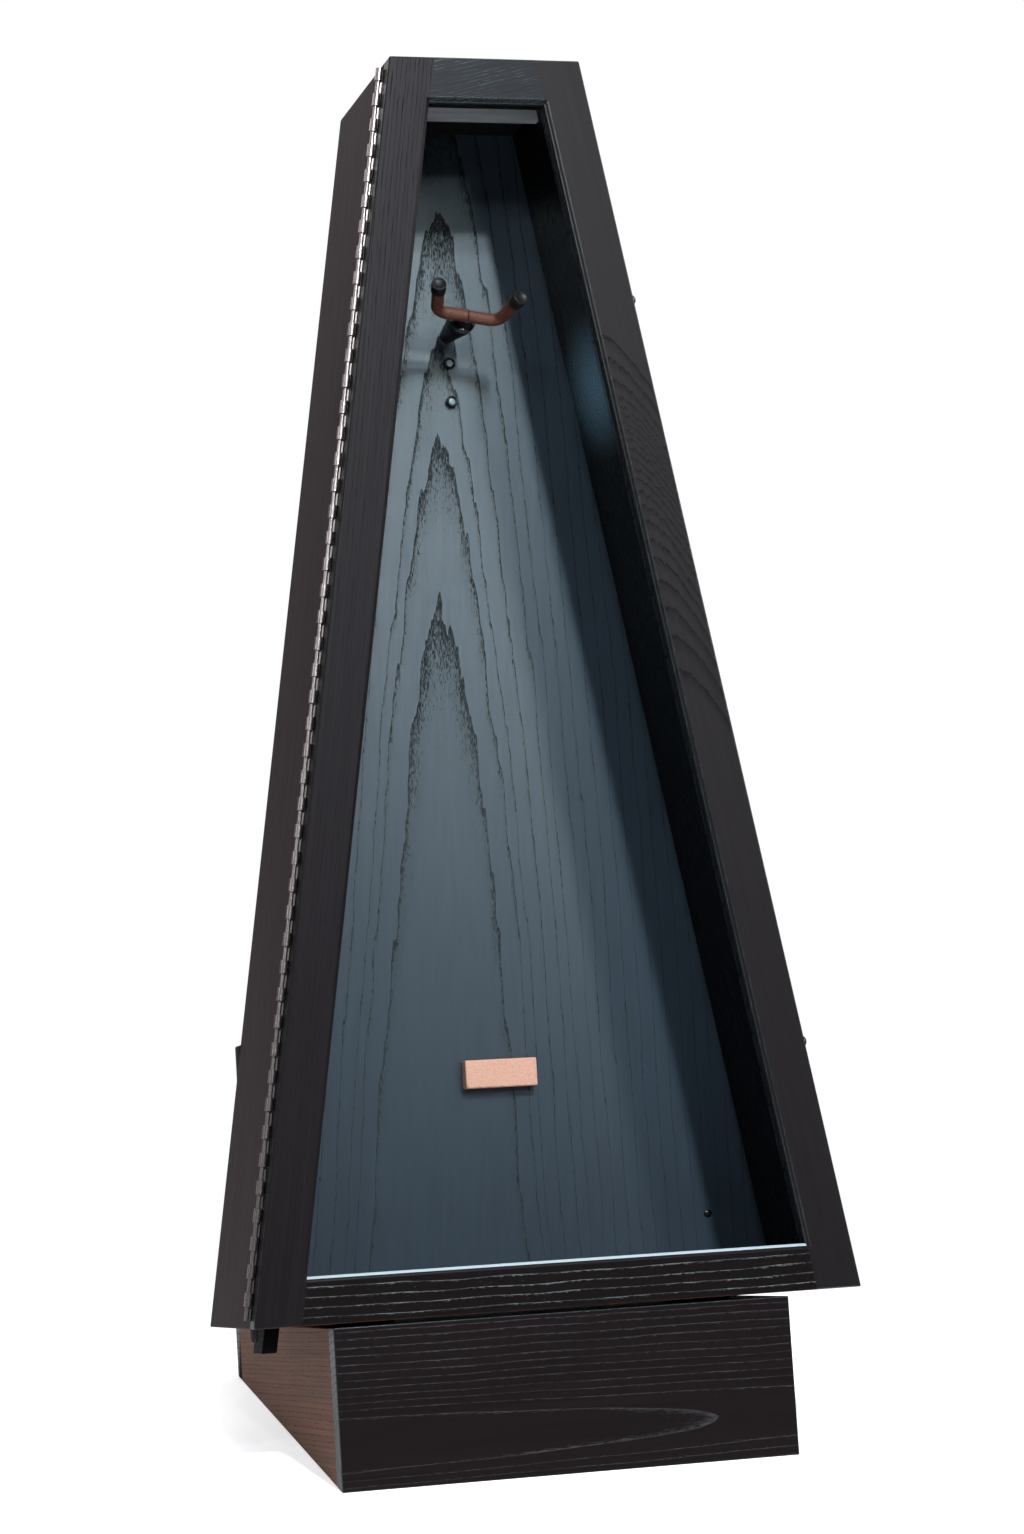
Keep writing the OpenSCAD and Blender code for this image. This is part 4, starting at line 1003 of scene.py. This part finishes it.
def turned(foot, axis, profile, steps=48):
    """Grid of a lathe piece: each (radius, height) in mm of the profile, carried round the axis
    from its foot, a world point."""
    axis = np.array(axis) / np.linalg.norm(axis)
    side = np.cross(axis, NOT_AN_AXIS)
    side /= np.linalg.norm(side)
    third = np.cross(axis, side)
    radius, height = np.array(profile, float).T * MM
    angle = np.linspace(0, 2 * math.pi, steps, endpoint=False)
    wheel = np.cos(angle)[:, None] * side + np.sin(angle)[:, None] * third
    return np.array(foot) + radius[:, None, None] * wheel + (height[:, None] * axis)[:, None, :]


def rounded(r0, h0, r1, h1, steps=6):
    """Quarter of an ellipse in the profile from (r0, h0) to (r1, h1), bulging outwards."""
    turn = np.linspace(0, math.pi / 2, steps)
    return list(zip(r0 + (r1 - r0) * np.sin(turn), h1 + (h0 - h1) * np.cos(turn)))


print("middle of a quarter round of 1 mm:", np.round(rounded(0, 0, 1, -1, 3)[1], 2))

# %% [markdown]
# Each arm of the yoke ends in a moulded cap. A shallow groove runs round its end face between
# a flat boss and a flat ring, and its rim is rounded. The plain solid's largest flat face says
# where the cap sits and which way it looks.

# %% Caps of the yoke
END_BAND = 0.05 * MM


def end_face(node):
    """Middle, outward direction, radius and length in mm of a turned CAD node. Triangles that
    share a direction are summed by area, and the largest sum is the end face."""
    mesh = frame["nodes"][node].data
    area = np.empty(len(mesh.polygons))
    mesh.polygons.foreach_get("area", area)
    normal = np.empty(len(mesh.polygons) * 3)
    mesh.polygons.foreach_get("normal", normal)
    normal = normal.reshape(-1, 3).round(3)
    facing, which = np.unique(normal, axis=0, return_inverse=True)
    best = int(np.argmax(np.bincount(which.ravel(), weights=area)))
    points = corners_of(mesh)
    axis = facing[best] / np.linalg.norm(facing[best])
    height = points @ axis
    rim = points[height > height.max() - END_BAND]
    middle = (rim.max(0) + rim.min(0)) / 2
    off = points - middle
    reach = np.linalg.norm(off - (off @ axis)[:, None] * axis, axis=1).max()
    return middle, axis, reach / MM, (height.max() - height.min()) / MM


CAP_INSET, CAP_ROUND = 0.05, 2.0
for node in ("cap_left", "cap_right"):
    middle, axis, wide, tall = end_face(node)
    print(node, "radius", round(wide, 2), "length", round(tall, 2))
    wall = wide - CAP_INSET
    # a flat boss, a groove 0.45 mm deep, the flat ring, the rounded rim, the wall and its foot
    profile = [(0, 0)] + [(0.9, 0), (1.9, -0.05), (2.3, -0.35), (2.9, -0.45), (3.5, -0.35),
                          (3.9, -0.05), (4.6, 0), (wall - CAP_ROUND, 0)]
    profile += rounded(wall - CAP_ROUND, 0, wall, -CAP_ROUND)[1:]
    profile += [(wall, -tall + 0.6), (wall - 0.35, -tall + 0.15), (wall - 0.7, -tall),
                (wall - 1.2, -tall), (wall - 1.3, -tall + 0.3), (0, -tall + 0.3)]
    skin(node + "_moulded", turned(middle, axis, profile), finishes["rubber"],
         frame["nodes"][node]["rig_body"], [node])

# %% [markdown]
# Two plugs close spare fixing holes in the panel. Each is a black rim that stands proud of the
# panel, round a shallow glossy dish whose grey is a painted highlight from the high lamps.

# %% Hole plugs
plug_low, plug_high = case_box("hole_plugs")
plug_r = (plug_high[0] - plug_low[0]) / 2
plug_x = (plug_high[0] + plug_low[0]) / 2
plug_rise = panel_face - plug_low[1]
# the dish's grey is a painted highlight; its low roughness gives a real one too
dish = surface("moulded_plastic_dish_painted_highlight", "#8d979b", "#777f83", 0.2, 0.28, (2, 2, 2),
               bump=0.05)
# heights are measured from the panel: the rim's well, its rounded lip, and its wall
rim_profile = [(0, plug_rise - 1.0), (plug_r - 2.6, plug_rise - 0.9)]
rim_profile += rounded(plug_r - 1.7, plug_rise, plug_r, plug_rise - 1.6)
rim_profile += [(plug_r, 0.1), (plug_r - 0.2, 0), (0, 0)]
dish_profile = [(0, plug_rise - 0.35), (plug_r - 4.2, plug_rise - 0.5),
                (plug_r - 3.0, plug_rise - 0.8), (plug_r - 2.5, plug_rise - 1.1),
                (0, plug_rise - 1.3)]
front = -np.array(case_turn.col[1])
for which, height in (("upper", plug_high[2] - plug_r), ("lower", plug_low[2] + plug_r)):
    foot = at(plug_x, panel_face, height)
    skin("hole_plug_" + which + "_rim", turned(foot, front, rim_profile), finishes["plastic"],
         "case", ["hole_plugs"] if which == "upper" else [])
    skin("hole_plug_" + which + "_dish", turned(foot, front, dish_profile), dish, "case",
         [])

# %% [markdown]
# The cork block is cut from a pressed sheet with a knife, so its faces are flat, its arrises
# slightly rounded, and crumbs have broken from them. A bevel would leave the arrises too even.
# So its points are the directions of a sphere, pushed out to the box, rounded, and bitten
# into along the arrises by a sum of waves.

# %% Cork
# mm of the arris's radius and of a full bite, the wave's height where bites begin, mm of crumbs
CORK_EASE, BITE, BITE_FROM, CRUMB = 1.1, 3.2, 0.12, 0.12
# a point is at an arris if two or three of its offsets pass this share of the radius
EDGE_SHARE = 0.02
cork_low, cork_high = case_box("cork_rest")
half = (cork_high - cork_low) / 2
around, up = np.meshgrid(np.linspace(0, 2 * math.pi, 220, endpoint=False),
                         np.linspace(0, math.pi, 120), indexing="xy")
way = np.stack([np.cos(around) * np.sin(up), np.sin(around) * np.sin(up), np.cos(up)], -1)
box = way / np.abs(way).max(-1, keepdims=True) * half
core = np.clip(box, CORK_EASE - half, half - CORK_EASE)
out = box - core
corner = (np.abs(out) > EDGE_SHARE * CORK_EASE).sum(-1) > 1
out /= np.linalg.norm(out, axis=-1, keepdims=True)

# each sum is the mean of nine sines of (point . random direction + random phase)
WAVES, CHIP_FINE, CRUMB_FINE, FULL_TURN = 9, 0.9, 3.0, 6.3
draw = np.random.default_rng(71)
chips = sum(np.sin(box @ draw.normal(0, CHIP_FINE, 3) + draw.uniform(0, FULL_TURN))
            for _ in range(WAVES)) / WAVES
crumbs = sum(np.sin(box @ draw.normal(0, CRUMB_FINE, 3) + draw.uniform(0, FULL_TURN))
             for _ in range(WAVES)) / WAVES
bite = np.where(corner, np.clip(chips - BITE_FROM, 0, 1) * BITE, 0) + CRUMB * np.abs(crumbs)
cork_points = core + out * (CORK_EASE - bite[..., None]) + (cork_high + cork_low) / 2
cork_grid = np.array(case_zero) + (cork_points * MM) @ np.array(case_turn).T
print("cork", (2 * half).round(1), "mm, deepest bite", bite.max().round(2))
skin("cork_rest_cut", cork_grid, finishes["cork"], "case", ["cork_rest"])
